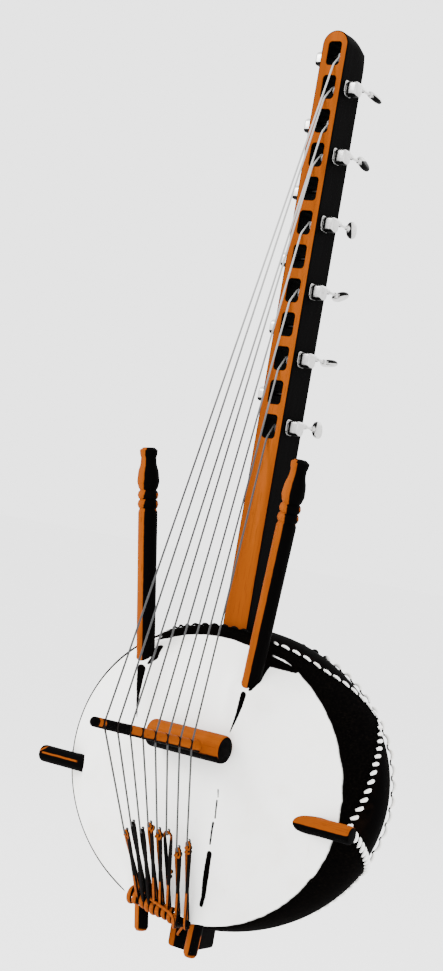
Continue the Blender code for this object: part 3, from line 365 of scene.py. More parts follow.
def neck_painted_shade(finish):
    """Painted shade on all but the planed face, and a painted dark line a little over its edge; on the tail a painted
    shadow covers the face but for a strip at its left.
    """
    depth = finish.along("Y") + finish.noise(130, 2) * 0.0006
    over = finish.node("ShaderNodeMath", {"operation": "MAXIMUM"}, {0: finish.along("Z") - (NECK_TOP - half_neck), 1: 0.0})
    out = finish.node("ShaderNodeMath", {"operation": "SQRT"}, {0: finish.along("X") * finish.along("X") + over * over})
    edge = finish.step(out + finish.noise(80, 3) * 0.0006, half_neck - 0.0013, half_neck - 0.0007)
    sides = finish.step(depth, -NECK_DEPTH + 0.0008, -NECK_DEPTH + 0.0016)
    below = finish.step(finish.along("Z") + finish.noise(90, 3) * 0.004, -0.494, -0.497)
    across = finish.step(finish.along("X") + finish.noise(160, 2) * 0.002, -0.0098, -0.0080)
    return finish.either(finish.either(sides, edge), below * across)


settle(cut_away(slotted_board(), [piece_from("drills", drills)], 30), oiled_wood("neck_wood", "Z", neck_painted_shade),
       "neck_wood", "instrument", "neck")


# Calabash. Half of a dried gourd, cut just above its widest ring, scraped thin and stained black. The back
# ends in the small dent of the gourd's flower end. A square hole at the top and at the bottom lets the
# neck run through.
RIM_Y, BOWL_Z = -0.069, -0.300
BOWL_HALF_WIDTH, BOWL_HALF_HEIGHT, BOWL_HALF_DEPTH = 0.218, 0.197, 0.205
BOWL_RIM_RISE, BOWL_WALL = 0.064, 0.006
RIM_SHARE = sqrt(1 - (BOWL_RIM_RISE / BOWL_HALF_DEPTH) ** 2)
RIM_HALF_WIDTH = BOWL_HALF_WIDTH * RIM_SHARE
RIM_HALF_HEIGHT = BOWL_HALF_HEIGHT * RIM_SHARE


def place(side, forward, up):
    """A point by its distance sideways, in front of the rim and above the calabash's middle."""
    return Vector((side, RIM_Y - forward, BOWL_Z + up))


def band(shape, ring, following):
    """Faces between two rings of corners."""
    count = len(ring)
    for k in range(count):
        j = (k + 1) % count
        shape.faces.new((ring[k], ring[j], following[j], following[k]))


def gourd_shell():
    """Both faces of the gourd's wall, a little uneven as it grew, joined at the cut rim."""
    shape = bmesh.new()
    rims = []
    for inward, steps in ((0.0, 44), (BOWL_WALL, 24)):
        start = acos(BOWL_RIM_RISE / (BOWL_HALF_DEPTH - inward))
        previous = None
        for k in range(steps):
            angle = start + (pi - start) * k / steps
            ring = []
            for n in range(128):
                turn = 2 * pi * n / 128
                uneven = 0.0007 * (sin(3 * turn + 2 * angle) + sin(5 * turn - 3 * angle) - 2) * sin(angle - start)
                size = sin(angle)
                ring.append(shape.verts.new(place(
                    (BOWL_HALF_WIDTH - inward + uneven) * size * cos(turn),
                    (BOWL_HALF_DEPTH - inward + uneven) * cos(angle) - BOWL_RIM_RISE,
                    (BOWL_HALF_HEIGHT - inward + uneven) * size * sin(turn))))
            if previous:
                band(shape, previous, ring)
            else:
                rims.append(ring)
            previous = ring
        depth = BOWL_RIM_RISE + BOWL_HALF_DEPTH - inward - (0.0 if inward else 0.0030)
        pole = shape.verts.new(place(0.0, -depth, 0.0))
        for n in range(128):
            shape.faces.new((previous[n], previous[(n + 1) % 128], pole))
    band(shape, *rims)
    bmesh.ops.recalc_face_normals(shape, faces=shape.faces)
    return piece_from("gourd_bowl", shape, 50)


def box_cutter(name, low, high):
    shape = bmesh.new()
    bmesh.ops.create_cube(shape, size=1.0)
    for vert in shape.verts:
        vert.co = Vector([low[i] + (vert.co[i] + 0.5) * (high[i] - low[i]) for i in range(3)])
    return piece_from(name, shape)


def neck_opening():
    return box_cutter("neck_opening", (-half_neck - CLEARANCE, -NECK_DEPTH - CLEARANCE, NECK_TAIL - 0.05),
                      (half_neck + CLEARANCE, CLEARANCE, BOWL_Z + BOWL_HALF_HEIGHT + 0.05))


gourd = Finish("gourd", Specular_IOR_Level=0.0005)
mottle = gourd.noise(22, 4, 0.6)
scratch = gourd.noise(420, 3, 0.6)
veins = gourd.noise(60, 3, 0.6, gourd.stretched(1.0, 0.25, 1.0))
black_gourd = gourd.colour(gourd.step(mottle, 0.48, 0.78), (0.0006, 0.0005, 0.0005), (0.0026, 0.0015, 0.0010))
black_gourd = gourd.colour(gourd.step(veins, 0.60, 0.72) * 0.4, black_gourd, (0.0040, 0.0022, 0.0014))
gourd.paint(black_gourd, 0.40 + mottle * 0.2 + scratch * 0.1, mottle * 0.7 + scratch * 0.2 + veins * 0.3, 0.0012, 0.35)
settle(cut_away(gourd_shell(), [neck_opening()], 50), gourd, "gourd", "instrument", "calabash")


# Cross stick and handles. Straight sticks of the same wood, turned round. The handles have a finial, a
# swell and two beads at the top, and a notch that holds them on the cross stick. All have painted shade on
# the side away from the light, with a few painted highlights, and are pushed through slits in the hide.
CROSS_RADIUS, CROSS_LEFT, CROSS_RIGHT, CROSS_UP = 0.0115, 0.250, 0.235, -0.0228
STICK_END_ROUND = 0.005
HANDLE_LENGTHS = (0.631, 0.657)
HANDLE_TAIL_SPREADS, HANDLE_TAIL_DROPS = (0.0473, 0.0310), (0.0282, 0.0415)
HANDLE_SPLAYS, HANDLE_EXITS = (0.1216, 0.1183), (0.130, 0.125)
HANDLE_GRIP_RADIUS, HANDLE_TAIL_RADIUS = 0.0127, 0.0092
HANDLE_THICK_TO, HANDLE_THIN_FROM, HANDLE_NOTCH = 0.300, 0.415, 0.0065
cross_forward = CROSS_RADIUS + CLEARANCE
handle_at_rim = HANDLE_TAIL_RADIUS + CLEARANCE
handle_at_cross = cross_forward + CROSS_RADIUS + HANDLE_TAIL_RADIUS - HANDLE_NOTCH
HANDLE_LEAN = (handle_at_cross - handle_at_rim) / (CROSS_UP + RIM_HALF_HEIGHT)


def of_side(pair, side):
    """The left or the right one of a pair of sizes."""
    return pair[0] if side < 0 else pair[1]


def handle_tail_up(side):
    return -(RIM_HALF_HEIGHT + of_side(HANDLE_TAIL_DROPS, side))


def handle_point(side, up):
    """The handle's axis at a height over the middle of the calabash."""
    forward = handle_at_rim + (up + RIM_HALF_HEIGHT) * HANDLE_LEAN
    spread = of_side(HANDLE_TAIL_SPREADS, side) + (up - handle_tail_up(side)) * of_side(HANDLE_SPLAYS, side)
    return place(side * spread, forward, up)


def handle_radius(side, up):
    """The handle's radius at a height over the middle of the calabash, below its grip."""
    low = handle_point(side, handle_tail_up(side))
    along = of_side(HANDLE_LENGTHS, side) - (handle_point(side, up) - low).length
    thick = min(1.0, max(0.0, (HANDLE_THIN_FROM - along) / (HANDLE_THIN_FROM - HANDLE_THICK_TO)))
    return HANDLE_TAIL_RADIUS + (HANDLE_GRIP_RADIUS * 0.92 - HANDLE_TAIL_RADIUS) * thick


def eased(points, per_span, closed=False):
    """Points of a smooth curve that passes through the given ones."""
    count = len(points)
    route = []
    for i in range(count if closed else count - 1):
        if closed:
            a, b, c, d = (points[(i + k) % count] for k in (-1, 0, 1, 2))
        else:
            a, b, c, d = (points[min(max(i + k, 0), count - 1)] for k in (-1, 0, 1, 2))
        for n in range(per_span):
            t = n / per_span
            route.append(0.5 * ((2 * b) + (c - a) * t + (2 * a - 5 * b + 4 * c - d) * t * t
                                + (3 * b - a - 3 * c + d) * t ** 3))
    return route if closed else route + [points[-1].copy()]


def turned(name, profile, sides, start, direction, sharp=40.0):
    """A piece turned on a lathe: the profile holds distances along its axis and radii."""
    axis = direction.normalized()
    across = axis.orthogonal().normalized()
    second = axis.cross(across)
    shape = bmesh.new()
    rings = []
    for along, radius in profile:
        centre = start + axis * along
        if radius < 0.000001:
            rings.append([shape.verts.new(centre)])
        else:
            rings.append([shape.verts.new(centre + (across * cos(2 * pi * k / sides)
                                                    + second * sin(2 * pi * k / sides)) * radius)
                          for k in range(sides)])
    for a, b in zip(rings, rings[1:]):
        for k in range(sides):
            j = (k + 1) % sides
            near = [a[k], a[j]] if len(a) > 1 else [a[0]]
            far = [b[j], b[k]] if len(b) > 1 else [b[0]]
            shape.faces.new(near + far)
    bmesh.ops.recalc_face_normals(shape, faces=shape.faces)
    return piece_from(name, shape, sharp)


def stick_profile(length, radius, grow=0.0):
    """A plain stick with rounded ends."""
    full = radius + grow
    profile = [(0.0, 0.0)]
    for n in range(7):
        turn = pi / 2 * n / 6
        profile.append((STICK_END_ROUND * (1 - cos(turn)), full - STICK_END_ROUND * 0.45 * (1 - sin(turn)) - 0.00001))
    return profile + [(length - along, size) for along, size in reversed(profile)]


def handle_profile(length, grow=0.0):
    """Finial, waist, swell and two beads, then the grip that thins towards the hide."""
    grip, tail = HANDLE_GRIP_RADIUS, HANDLE_TAIL_RADIUS
    marks = [
        (0.0000, 0.0), (0.0005, grip * 0.62), (0.0040, grip * 0.93), (0.0085, grip * 0.90),
        (0.0135, grip * 0.80), (0.0200, grip * 0.82), (0.0340, grip * 1.08), (0.0450, grip * 1.15),
        (0.0520, grip * 1.02), (0.0560, grip * 0.86), (0.0585, grip * 1.02), (0.0625, grip * 1.08),
        (0.0660, grip * 1.00), (0.0680, grip * 0.86), (0.0705, grip * 1.02), (0.0745, grip * 1.08),
        (0.0780, grip * 1.00), (0.0800, grip * 0.88), (0.0850, grip), (HANDLE_THICK_TO * 0.7, grip * 0.97),
        (HANDLE_THICK_TO, grip * 0.92), (HANDLE_THIN_FROM, tail), (length - 0.0058, tail),
        (length - 0.0020, tail * 0.8), (length - 0.0008, 0.0),
    ]
    fine = []
    for (at, size), (next_at, next_size) in zip(marks, marks[1:]):
        count = 3 if next_at - at < 0.03 else 8
        for n in range(count):
            share = n / count
            bend = share * share * (3 - 2 * share) if size > 0 and next_size > 0 else sqrt(1 - (1 - share) ** 2)
            if next_size == 0.0:
                bend = 1 - sqrt(1 - share * share)
            fine.append((at + (next_at - at) * share, size + (next_size - size) * bend))
    fine.append((length - 0.0008, 0.0))
    return [(along, radius + grow if radius > 0.0 else 0.0) for along, radius in fine]


# A mask, dark where the surface faces a direction: painted shade on the sides away from the light; on the tail bar it
# covers nearly all of the rod.
def dark_facing(direction, low=0.05, high=0.22):
    def mask(finish):
        return finish.step(finish.facing(direction) + finish.noise(90, 2) * 0.10 - 0.05, low, high)
    return mask


def cross_light_and_shade(finish):
    """Painted shade on the underside and the right end, and on all of the left end but for a painted highlight streak
    along it and a painted highlight round its rim.
    """
    under = dark_facing((0.13, 0.11, -0.985), -0.14, -0.04)(finish)
    end = finish.step(finish.facing((1.0, 0.0, 0.0)), 0.62, 0.74)
    upward = finish.facing((-0.134, -0.107, 0.985)) + finish.noise(70, 2) * 0.10 - 0.05
    off_streak = finish.node("ShaderNodeMath", {"operation": "ABSOLUTE"}, {0: upward - 0.30})
    side = finish.along("X") + finish.noise(60, 3) * 0.004
    painted_light = finish.step(off_streak, 0.13, 0.06) * finish.step(side, -0.1800, -0.1850) * finish.step(side, -0.2430, -0.2400)
    off_rim = finish.node("ShaderNodeMath", {"operation": "ABSOLUTE"}, {0: upward - (side + 0.2495) * 52.0 - 0.30})
    rim = finish.step(off_rim, 0.16, 0.07) * finish.step(side, -0.2375, -0.2395)
    left = finish.step(side, -0.120, -0.126) * (1 - finish.either(painted_light, rim))
    right = finish.either(under, end) * finish.step(side, -0.126, -0.120)
    return finish.either(left, right)


cross_start = place(-CROSS_LEFT, cross_forward, CROSS_UP)
cross_length = CROSS_LEFT + CROSS_RIGHT


def cross_slit():
    return turned("cross_slit", stick_profile(cross_length, CROSS_RADIUS, CLEARANCE * 1.6), 48, cross_start,
                  Vector((1, 0, 0)))


settle(turned("cross_rod", stick_profile(cross_length, CROSS_RADIUS), 48, cross_start, Vector((1, 0, 0)), 60),
       oiled_wood("cross_wood", "X", cross_light_and_shade), "stick_wood", "instrument", "cross_stick")


def handle_slit(side, grow=CLEARANCE * 1.6):
    """The room that a handle takes, a little wider than the handle."""
    low = handle_point(side, handle_tail_up(side))
    axis = (handle_point(side, 0.9) - low).normalized()
    length = of_side(HANDLE_LENGTHS, side)
    return turned("handle_slit", handle_profile(length, grow), 40, low + axis * length, -axis)


def handle_light_and_shade(side):
    """Painted shade on the side away from the light, left off for a painted highlight round the rim of the tail's end,
    and on the right edge by the beads and, on the right handle, near the tail's end.
    """
    end = handle_point(side, handle_tail_up(side))
    low, high = end.z, (end + (handle_point(side, 0.9) - end).normalized() * of_side(HANDLE_LENGTHS, side)).z

    def mask(finish):
        height = finish.along("Z") + finish.noise(130, 2) * 0.002
        by_beads = finish.step(height, high - 0.0800, high - 0.0790) * finish.step(height, high - 0.0560, high - 0.0570)
        by_end = finish.step(height, low + 0.034, low + 0.028) if side > 0 else 0.0
        edge = finish.step(finish.facing((0.83, 0.53, 0.17)), 0.78, 0.88) * finish.either(by_beads, by_end)
        return dark_facing((0.929, 0.365, 0.0), -0.22, -0.12)(finish) * finish.step(height, low + 0.0035, low + 0.0070) * (1 - edge)
    return mask


for side, name in ((-1, "left"), (1, "right")):
    stick = cut_away(handle_slit(side, 0.0), [cross_slit()], 40)
    stick.name = "turned_handle_" + name
    settle(stick, oiled_wood("handle_wood_" + name, "Z", handle_light_and_shade(side)), "stick_wood", "instrument",
           "handle_" + name)


# Skin. A wet hide drawn over the mouth of the calabash and dried tight, scraped white on its face; the skirt
# that turns down over the rim is painted dark as shade, with a fine streaky texture, and so are a band across
# the top and a thin line on the left rim. The handles lift it from below up to the slits where they come out,
# and painted shadows lie in streaks along them and beside them.
SKIN_THICKNESS, SKIN_CROWN, SKIN_SLACK = 0.0018, 0.0462, 0.0021
TENT_SLACK, TENT_FLAT, TENT_SPREAD, TENT_FADE = 0.0010, 0.008, 0.020, 0.036
LIP_ENDS, LIP_FLAT, LIP_SPREAD, LIP_FADE = (0.168, 0.150), 0.006, 0.011, 0.012
SKIN_LIFT = SKIN_THICKNESS + CLEARANCE
HEM_LINE = ((0, 0.011), (17, 0.012), (36, 0.042), (55, 0.116), (74, 0.057), (95, 0.013), (120, 0.148),
            (150, 0.122), (180, 0.085))


def gourd_ring(below_rim):
    """Half width and half height of the gourd at a depth below the rim."""
    share = (BOWL_RIM_RISE - below_rim) / BOWL_HALF_DEPTH
    size = sqrt(max(0.0, 1 - share * share))
    return BOWL_HALF_WIDTH * size, BOWL_HALF_HEIGHT * size


def hem_depth(angle):
    """How far below the rim the hem runs at an angle from the neck."""
    degrees_off = abs((angle * 180 / pi + 180) % 360 - 180)
    for (near, high), (far, low) in zip(HEM_LINE, HEM_LINE[1:]):
        if degrees_off <= far:
            return high + (low - high) * (degrees_off - near) / (far - near)
    return HEM_LINE[-1][1]


def tent_rise(x, up, crown):
    """How far the hide is lifted off its crown over a handle, up to where that comes out."""
    most = 0.0
    for side in (-1, 1):
        exit_up = of_side(HANDLE_EXITS, side)
        under = handle_point(side, min(up, exit_up))
        reach = RIM_Y - under.y + handle_radius(side, min(up, exit_up)) + SKIN_LIFT + TENT_SLACK - crown
        fade = min(1.0, max(0.0, 1 - (up - exit_up) / TENT_FADE))
        off = max(0.0, abs(x - handle_point(side, up).x) - TENT_FLAT)
        most = max(most, reach * fade * exp(-(off / TENT_SPREAD) ** 2))
    return most


def lip_rise(x, up, crown):
    """How far the hide is lifted off its crown over the cross stick, up to where that comes out."""
    reach = cross_forward + CROSS_RADIUS + SKIN_LIFT + TENT_SLACK - crown
    fade = min(1.0, max(0.0, 1 - (abs(x) - of_side(LIP_ENDS, x)) / LIP_FADE))
    off = max(0.0, abs(up - CROSS_UP) - LIP_FLAT)
    return max(0.0, reach) * fade * exp(-(off / LIP_SPREAD) ** 2)


def crown_rise(x, up):
    """Rise of the outer face of the hide in front of the rim."""
    across = x / RIM_HALF_WIDTH
    along = up / RIM_HALF_HEIGHT
    share = across * across + along * along
    if share >= 1:
        return SKIN_LIFT
    fuller = 2.5 if up > 0 else 1.3
    steep = 2 + (fuller * along * along / share if share > 0 else 0)
    rise = SKIN_LIFT + SKIN_CROWN * (1 - share ** (steep / 2))
    return rise + max(tent_rise(x, up, rise), lip_rise(x, up, rise))


def stretched_hide():
    """The hide's outer face with its skirt, given its thickness inwards."""
    shape = bmesh.new()
    sides = 224
    rings = []
    shares = [0.06 + 0.90 * n / 39 for n in range(40)] + [0.975, 0.988]
    for share in shares:
        rings.append([shape.verts.new(place(x, crown_rise(x, up), up)) for x, up in (
            (RIM_HALF_WIDTH * share * cos(2 * pi * k / sides), RIM_HALF_HEIGHT * share * sin(2 * pi * k / sides))
            for k in range(sides))])
    skirt = SKIN_LIFT + SKIN_SLACK
    for forward, out in ((SKIN_LIFT * 0.92, SKIN_LIFT * 0.92), (-0.0015, skirt)):
        half_width, half_height = gourd_ring(0.001)
        rings.append([shape.verts.new(place((half_width + out) * cos(2 * pi * k / sides), forward,
                                            (half_height + out) * sin(2 * pi * k / sides))) for k in range(sides)])
    for step in range(1, 13):
        ring = []
        for k in range(sides):
            turn = 2 * pi * k / sides
            below = 0.0015 + (hem_depth(pi / 2 - turn) - 0.0015) * step / 12
            half_width, half_height = gourd_ring(below)
            ring.append(shape.verts.new(place((half_width + skirt) * cos(turn), -below,
                                              (half_height + skirt) * sin(turn))))
        rings.append(ring)
    for a, b in zip(rings, rings[1:]):
        band(shape, a, b)
    middle = shape.verts.new(place(0.0, crown_rise(0.0, 0.0), 0.0))
    for k in range(sides):
        shape.faces.new((middle, rings[0][(k + 1) % sides], rings[0][k]))
    bmesh.ops.recalc_face_normals(shape, faces=shape.faces)
    piece = piece_from("hide_head", shape)
    wall = piece.modifiers.new("wall", "SOLIDIFY")
    wall.thickness = SKIN_THICKNESS
    wall.offset = -1
    return made_plain(piece, 60)


def shadow_streak(finish, where, x0, z0, x1, z1, wide, narrow):
    """A painted shadow streak on the face of the hide from one point to another, in X and Z."""
    span = hypot(x1 - x0, z1 - z0)
    ahead = ((x1 - x0) / span, 0.0, (z1 - z0) / span)
    run = finish.off_axis((x0, 0.0, z0), ahead)
    aside = finish.off_axis((x0, 0.0, z0), (-ahead[2], 0.0, ahead[0]))
    share = finish.node("ShaderNodeClamp", None, {0: run / span})
    before = run - share * span
    away = finish.node("ShaderNodeMath", {"operation": "SQRT"}, {0: before * before + aside * aside})
    return finish.step(away + where - (wide + (narrow - wide) * share), 0.0005, -0.0005)


hide = Finish("hide", Specular_IOR_Level=0.001)
cloudy = hide.noise(16, 4, 0.55)
grainy = hide.noise(700, 3, 0.6)
fine_lines = hide.noise(120, 4, 0.65, hide.stretched(1.0, 1.0, 0.3))
face = hide.colour(hide.step(cloudy, 0.45, 0.80), (0.93, 0.925, 0.90), (0.86, 0.84, 0.79))
face = hide.colour(hide.step(fine_lines, 0.60, 0.75) * 0.25, face, (0.70, 0.66, 0.60))
# Fine streaks on the skirt, which is painted near-black as shade.
skirt_streaks = hide.noise(900, 2, 0.6, hide.stretched(1, 0.12, 1))
dark = hide.colour(hide.step(skirt_streaks, 0.45, 0.75), (0.0006, 0.0005, 0.0005), (0.0026, 0.0020, 0.0016))
edge = hide.noise(60, 3) * 0.0016
skirt = hide.step(hide.along("Y") + edge, RIM_Y - 0.0019, RIM_Y - 0.0011)
from_middle = hide.node("ShaderNodeVectorMath", {"operation": "SUBTRACT"}, {0: hide.spot, 1: (0.0, 0.0, BOWL_Z)})
to_rim = hide.node("ShaderNodeVectorMath", {"operation": "MULTIPLY"},
                   {0: from_middle, 1: (1 / RIM_HALF_WIDTH, 0.0, 1 / RIM_HALF_HEIGHT)})
to_rim = hide.node("ShaderNodeVectorMath", {"operation": "LENGTH"}, {0: to_rim}, out="Value")
# A painted dark line on the very rim at the left, and a band of painted shade across the top between the handles.
left_rim_line = hide.step(to_rim, 0.9985, 1.0005) * hide.step(hide.along("X"), -0.02, -0.06)
top_band = hide.step(to_rim + hide.noise(70, 3) * 0.012, 0.9730, 0.9770) * hide.step(hide.along("Z"), -0.160, -0.140)
top_band = top_band * hide.step(hide.along("X"), -0.100, -0.094) * hide.step(hide.along("X"), 0.085, 0.075)
ragged = hide.noise(260, 3, 0.6) * 0.0014 - 0.0007
hide_painted_shade = hide.either(hide.either(skirt, top_band), left_rim_line)
# Painted shadow streaks along and beside the handles where they lift the hide.
for mark in (
    (-0.0845, -0.1775, -0.0855, -0.2049, 0.0066, 0.0036), (-0.0855, -0.2049, -0.0852, -0.2245, 0.0030, 0.0017),
    (-0.0852, -0.2245, -0.0835, -0.2400, 0.0016, 0.0006), (-0.0790, -0.1485, -0.0745, -0.1600, 0.0048, 0.0038),
    (-0.0745, -0.1600, -0.0765, -0.1676, 0.0038, 0.0020), (0.0739, -0.1800, 0.0708, -0.1946, 0.0042, 0.0036),
    (0.0708, -0.1946, 0.0667, -0.2107, 0.0034, 0.0022), (0.0667, -0.2107, 0.0603, -0.2298, 0.0022, 0.0008),
    (0.0775, -0.1400, 0.0835, -0.1600, 0.0046, 0.0042), (0.0835, -0.1600, 0.0815, -0.1715, 0.0042, 0.0026),
    (0.0700, -0.1342, 0.1130, -0.1412, 0.0070, 0.0032), (0.0640, -0.1205, 0.1020, -0.1285, 0.0045, 0.0045),
    (0.0550, -0.3048, 0.0567, -0.3134, 0.0012, 0.0008), (0.0562, -0.3186, 0.0576, -0.3399, 0.0013, 0.0010),
    (0.0559, -0.3467, 0.0555, -0.3736, 0.0016, 0.0013), (0.0560, -0.3860, 0.0530, -0.4142, 0.0036, 0.0040),
    (0.0530, -0.4142, 0.0470, -0.4549, 0.0040, 0.0030),
):
    hide_painted_shade = hide.either(hide_painted_shade, shadow_streak(hide, ragged, *mark))
hide.paint(hide.colour(hide_painted_shade, face, dark), 0.62 + hide_painted_shade * 0.1, grainy * 0.4 + cloudy * 0.3 + skirt_streaks * skirt,
           0.0005, 0.3)
settle(cut_away(stretched_hide(), [handle_slit(-1), handle_slit(1), cross_slit(), neck_opening()], 50), hide, "hide",
       "instrument", "skin")


# Lacing. One white cotton cord is sewn over the hem of the hide all round, in short fat stitches where the
# hem dips and in long flat ones along its top. A second row is sewn through the calabash further back. Both
# are painted black as shade where they dip between stitches and along the top between the handles.
RING_DEPTH, ROWS_APART = 0.151, 0.022


def ring_depth(angle):
    return max(RING_DEPTH, hem_depth(angle) + ROWS_APART)


def on_gourd(angle, below_rim, off):
    """A point off the gourd's side, by its angle from the neck."""
    half_width, half_height = gourd_ring(below_rim)
    slope = (BOWL_RIM_RISE - below_rim) / BOWL_HALF_DEPTH ** 2
    base = Vector((half_width * sin(angle), 0.0, half_height * cos(angle)))
    outward = Vector((base.x / BOWL_HALF_WIDTH ** 2, -slope, base.z / BOWL_HALF_HEIGHT ** 2)).normalized()
    return place(base.x, -below_rim, base.z) + outward * off


def lay_cord(shape, route, sides=12, plies=0, lay=0.01, closed=False):
    """Adds a cord to a bmesh. Each point of its route holds a place, a radius and how dark it is."""
    shades = shape.verts.layers.float.get("shade") or shape.verts.layers.float.new("shade")
    spots = [Vector(point[:3]) for point in route]
    count = len(spots)
    tangents = []
    for i in range(count):
        before = spots[i - 1] if closed or i > 0 else spots[i]
        after = spots[(i + 1) % count] if closed or i < count - 1 else spots[i]
        tangents.append((after - before).normalized())
    across = tangents[0].orthogonal().normalized()
    frames = []
    for tangent in tangents:
        across = (across - tangent * across.dot(tangent)).normalized()
        frames.append(across)
    drift = 0.0
    if closed:
        last = (frames[-1] - tangents[0] * frames[-1].dot(tangents[0])).normalized()
        drift = atan2(last.cross(frames[0]).dot(tangents[0]), last.dot(frames[0]))
    rings = []
    travelled = 0.0
    for i, centre in enumerate(spots):
        travelled += (centre - spots[i - 1]).length if i else 0.0
        second = tangents[i].cross(frames[i])
        ring = []
        for k in range(sides):
            turn = 2 * pi * k / sides
            size = route[i][3]
            if plies:
                size *= 0.80 + 0.20 * abs(cos(plies / 2 * (turn - 2 * pi * travelled / lay))) ** 0.7
            turn += drift * i / count
            vert = shape.verts.new(centre + (frames[i] * cos(turn) + second * sin(turn)) * size)
            vert[shades] = route[i][4]
            ring.append(vert)
        rings.append(ring)
    for a, b in zip(rings, rings[1:]):
        band(shape, a, b)
    if closed:
        band(shape, rings[-1], rings[0])
        return
    for ring, centre, outward, end in ((rings[0][::-1], spots[0], -tangents[0], route[0]),
                                       (rings[-1], spots[-1], tangents[-1], route[-1])):
        inner = [shape.verts.new(centre + (v.co - centre) * 0.6 + outward * end[3] * 0.55) for v in ring]
        for vert in inner:
            vert[shades] = end[4]
        band(shape, ring, inner)
        shape.faces.new(inner)


def cord_points(spots, radius, shade=0.0):
    return [Vector((*spot, radius, shade)) for spot in spots]


def sewn_route(depth, off, thick, measures):
    """Overcast stitches along a line round the calabash; measures gives pitch, sway, rise and size at an angle."""
    line = [on_gourd(2 * pi * k / 720, depth(2 * pi * k / 720), off) for k in range(721)]
    travelled = [0.0]
    for a, b in zip(line, line[1:]):
        travelled.append(travelled[-1] + (b - a).length)

    def spot(wanted, sideways, outwards):
        wanted = wanted % travelled[-1]
        low, high = 0, 720
        while high - low > 1:
            middle = (low + high) // 2
            low, high = (middle, high) if travelled[middle] <= wanted else (low, middle)
        angle = 2 * pi * (low + (wanted - travelled[low]) / (travelled[low + 1] - travelled[low])) / 720
        base = on_gourd(angle, depth(angle), off)
        outward = (on_gourd(angle, depth(angle), off + 0.001) - base).normalized()
        ahead = (line[low + 1] - line[low]).normalized()
        return base + ahead.cross(outward) * sideways + outward * outwards

    starts = [0.0]
    angle_of = {}
    at = 0
    while starts[-1] < travelled[-1]:
        while travelled[min(at + 1, 720)] < starts[-1]:
            at += 1
        degrees_off = abs((at / 2 + 180) % 360 - 180)
        angle_of[len(starts) - 1] = degrees_off
        starts.append(starts[-1] + measures(degrees_off)[0])
    fit = travelled[-1] / starts[-1]
    points = []
    for n in range(len(starts) - 1):
        start, pitch = starts[n] * fit, (starts[n + 1] - starts[n]) * fit
        sway, rise, full = measures(angle_of[n])[1:]
        for share, sideways, up, size, shade in (
            (0.00, -1.0, -0.35, 0.50, 1.0), (0.07, -0.85, 0.30, 0.75, 0.0), (0.25, -0.35, 0.90, 1.0, 0.0),
            (0.47, 0.35, 0.90, 1.0, 0.0), (0.68, 0.85, 0.30, 0.75, 0.0), (0.76, 1.0, -0.35, 0.50, 1.0),
            (0.88, 0.0, -0.45, 0.42, 1.0),
        ):
            points.append(Vector((*spot(start + pitch * share, sway * sideways, rise * up), thick * full * size, shade)))
    return eased(points, 3, True)


def hem_measures(degrees_off):
    """Pitch, sway, rise and size of the hem's stitches."""
    share = min(1.0, max(0.0, (degrees_off - 52) / 6))
    return 0.0155 - 0.0025 * share, 0.0012 + 0.0032 * share, 0.0010 + 0.0010 * share, 0.72 + 0.28 * share


lace = Finish("lace", Specular_IOR_Level=0.02)
fuzz = lace.noise(1500, 3, 0.6)
lace_colour = lace.colour(lace.step(lace.noise(45, 3), 0.5, 0.8), (0.92, 0.91, 0.88), (0.74, 0.71, 0.64))
# Painted shade: the cord is near-black along the top between the handles and where it dips between stitches.
off_middle = lace.node("ShaderNodeMath", {"operation": "ABSOLUTE"}, {0: lace.along("X") + 0.017})
between = lace.step(off_middle, 0.0890, 0.0830) * lace.step(lace.along("Z"), -0.175, -0.160)
dip_shade = lace.step(lace.node("ShaderNodeAttribute", {"attribute_name": "shade"}, None, out="Fac"), 0.40, 0.70)
lace.paint(lace.colour(lace.either(between, dip_shade), lace_colour, (0.0012, 0.0010, 0.0009)), 0.85, fuzz, 0.0003, 0.5)
hem_off = SKIN_LIFT + SKIN_SLACK + CLEARANCE + 0.0008
for name, route, node in (
    ("hem_cord", sewn_route(lambda angle: hem_depth(angle) - 0.0012, hem_off, 0.0025, hem_measures), "hem_lacing"),
    ("ring_cord", sewn_route(ring_depth, 0.0022, 0.0026, lambda degrees_off: (0.0205, 0.0034, 0.0030, 1.0)),
     "ring_lacing"),
):
    shape = bmesh.new()
    lay_cord(shape, route, 12, 3, 0.006, True)
    bmesh.ops.recalc_face_normals(shape, faces=shape.faces)
    settle(piece_from(name, shape, 180), lace, "lace", "instrument", node)


# Bridge. A round block lies across the hide. A tapered bar stands in it and leans a little to the left and
# to the neck, with a ring scored round it and a notch for each string. Both are turned from the same wood.
FOOT_RADIUS, FOOT_LENGTH, FOOT_SIDE, FOOT_UP = 0.018, 0.112, 0.0125, 0.0487
BRIDGE_HEIGHT, BRIDGE_ROOT_RADIUS, BRIDGE_TIP_RADIUS = 0.2265, 0.0075, 0.0062
NOTCH_FIRST, NOTCH_PITCH, NOTCH_DEPTH = 0.0157, 0.0234, 0.0016
STRING_RADIUS = 0.0012
skin_top = crown_rise(FOOT_SIDE, FOOT_UP)
foot_start = place(FOOT_SIDE - FOOT_LENGTH / 2, skin_top + CLEARANCE + FOOT_RADIUS, FOOT_UP)
bar_lean = Vector((-sin(radians(7.75)), -1.0, sin(radians(7.75)))).normalized()
bar_root = place(0.0410, skin_top + CLEARANCE + 0.003, 0.0430)
bar_length = BRIDGE_HEIGHT / -bar_lean.y
bar_out = (Vector((1, 0, 0)) - bar_lean * bar_lean.x).normalized()


def bar_radius(along):
    """Radius of the bridge bar at a distance from its root."""
    share = min(1.0, max(0.0, (along - FOOT_RADIUS * 2) / (bar_length - 0.003 - FOOT_RADIUS * 2)))
    return BRIDGE_ROOT_RADIUS + (BRIDGE_TIP_RADIUS - BRIDGE_ROOT_RADIUS) * share


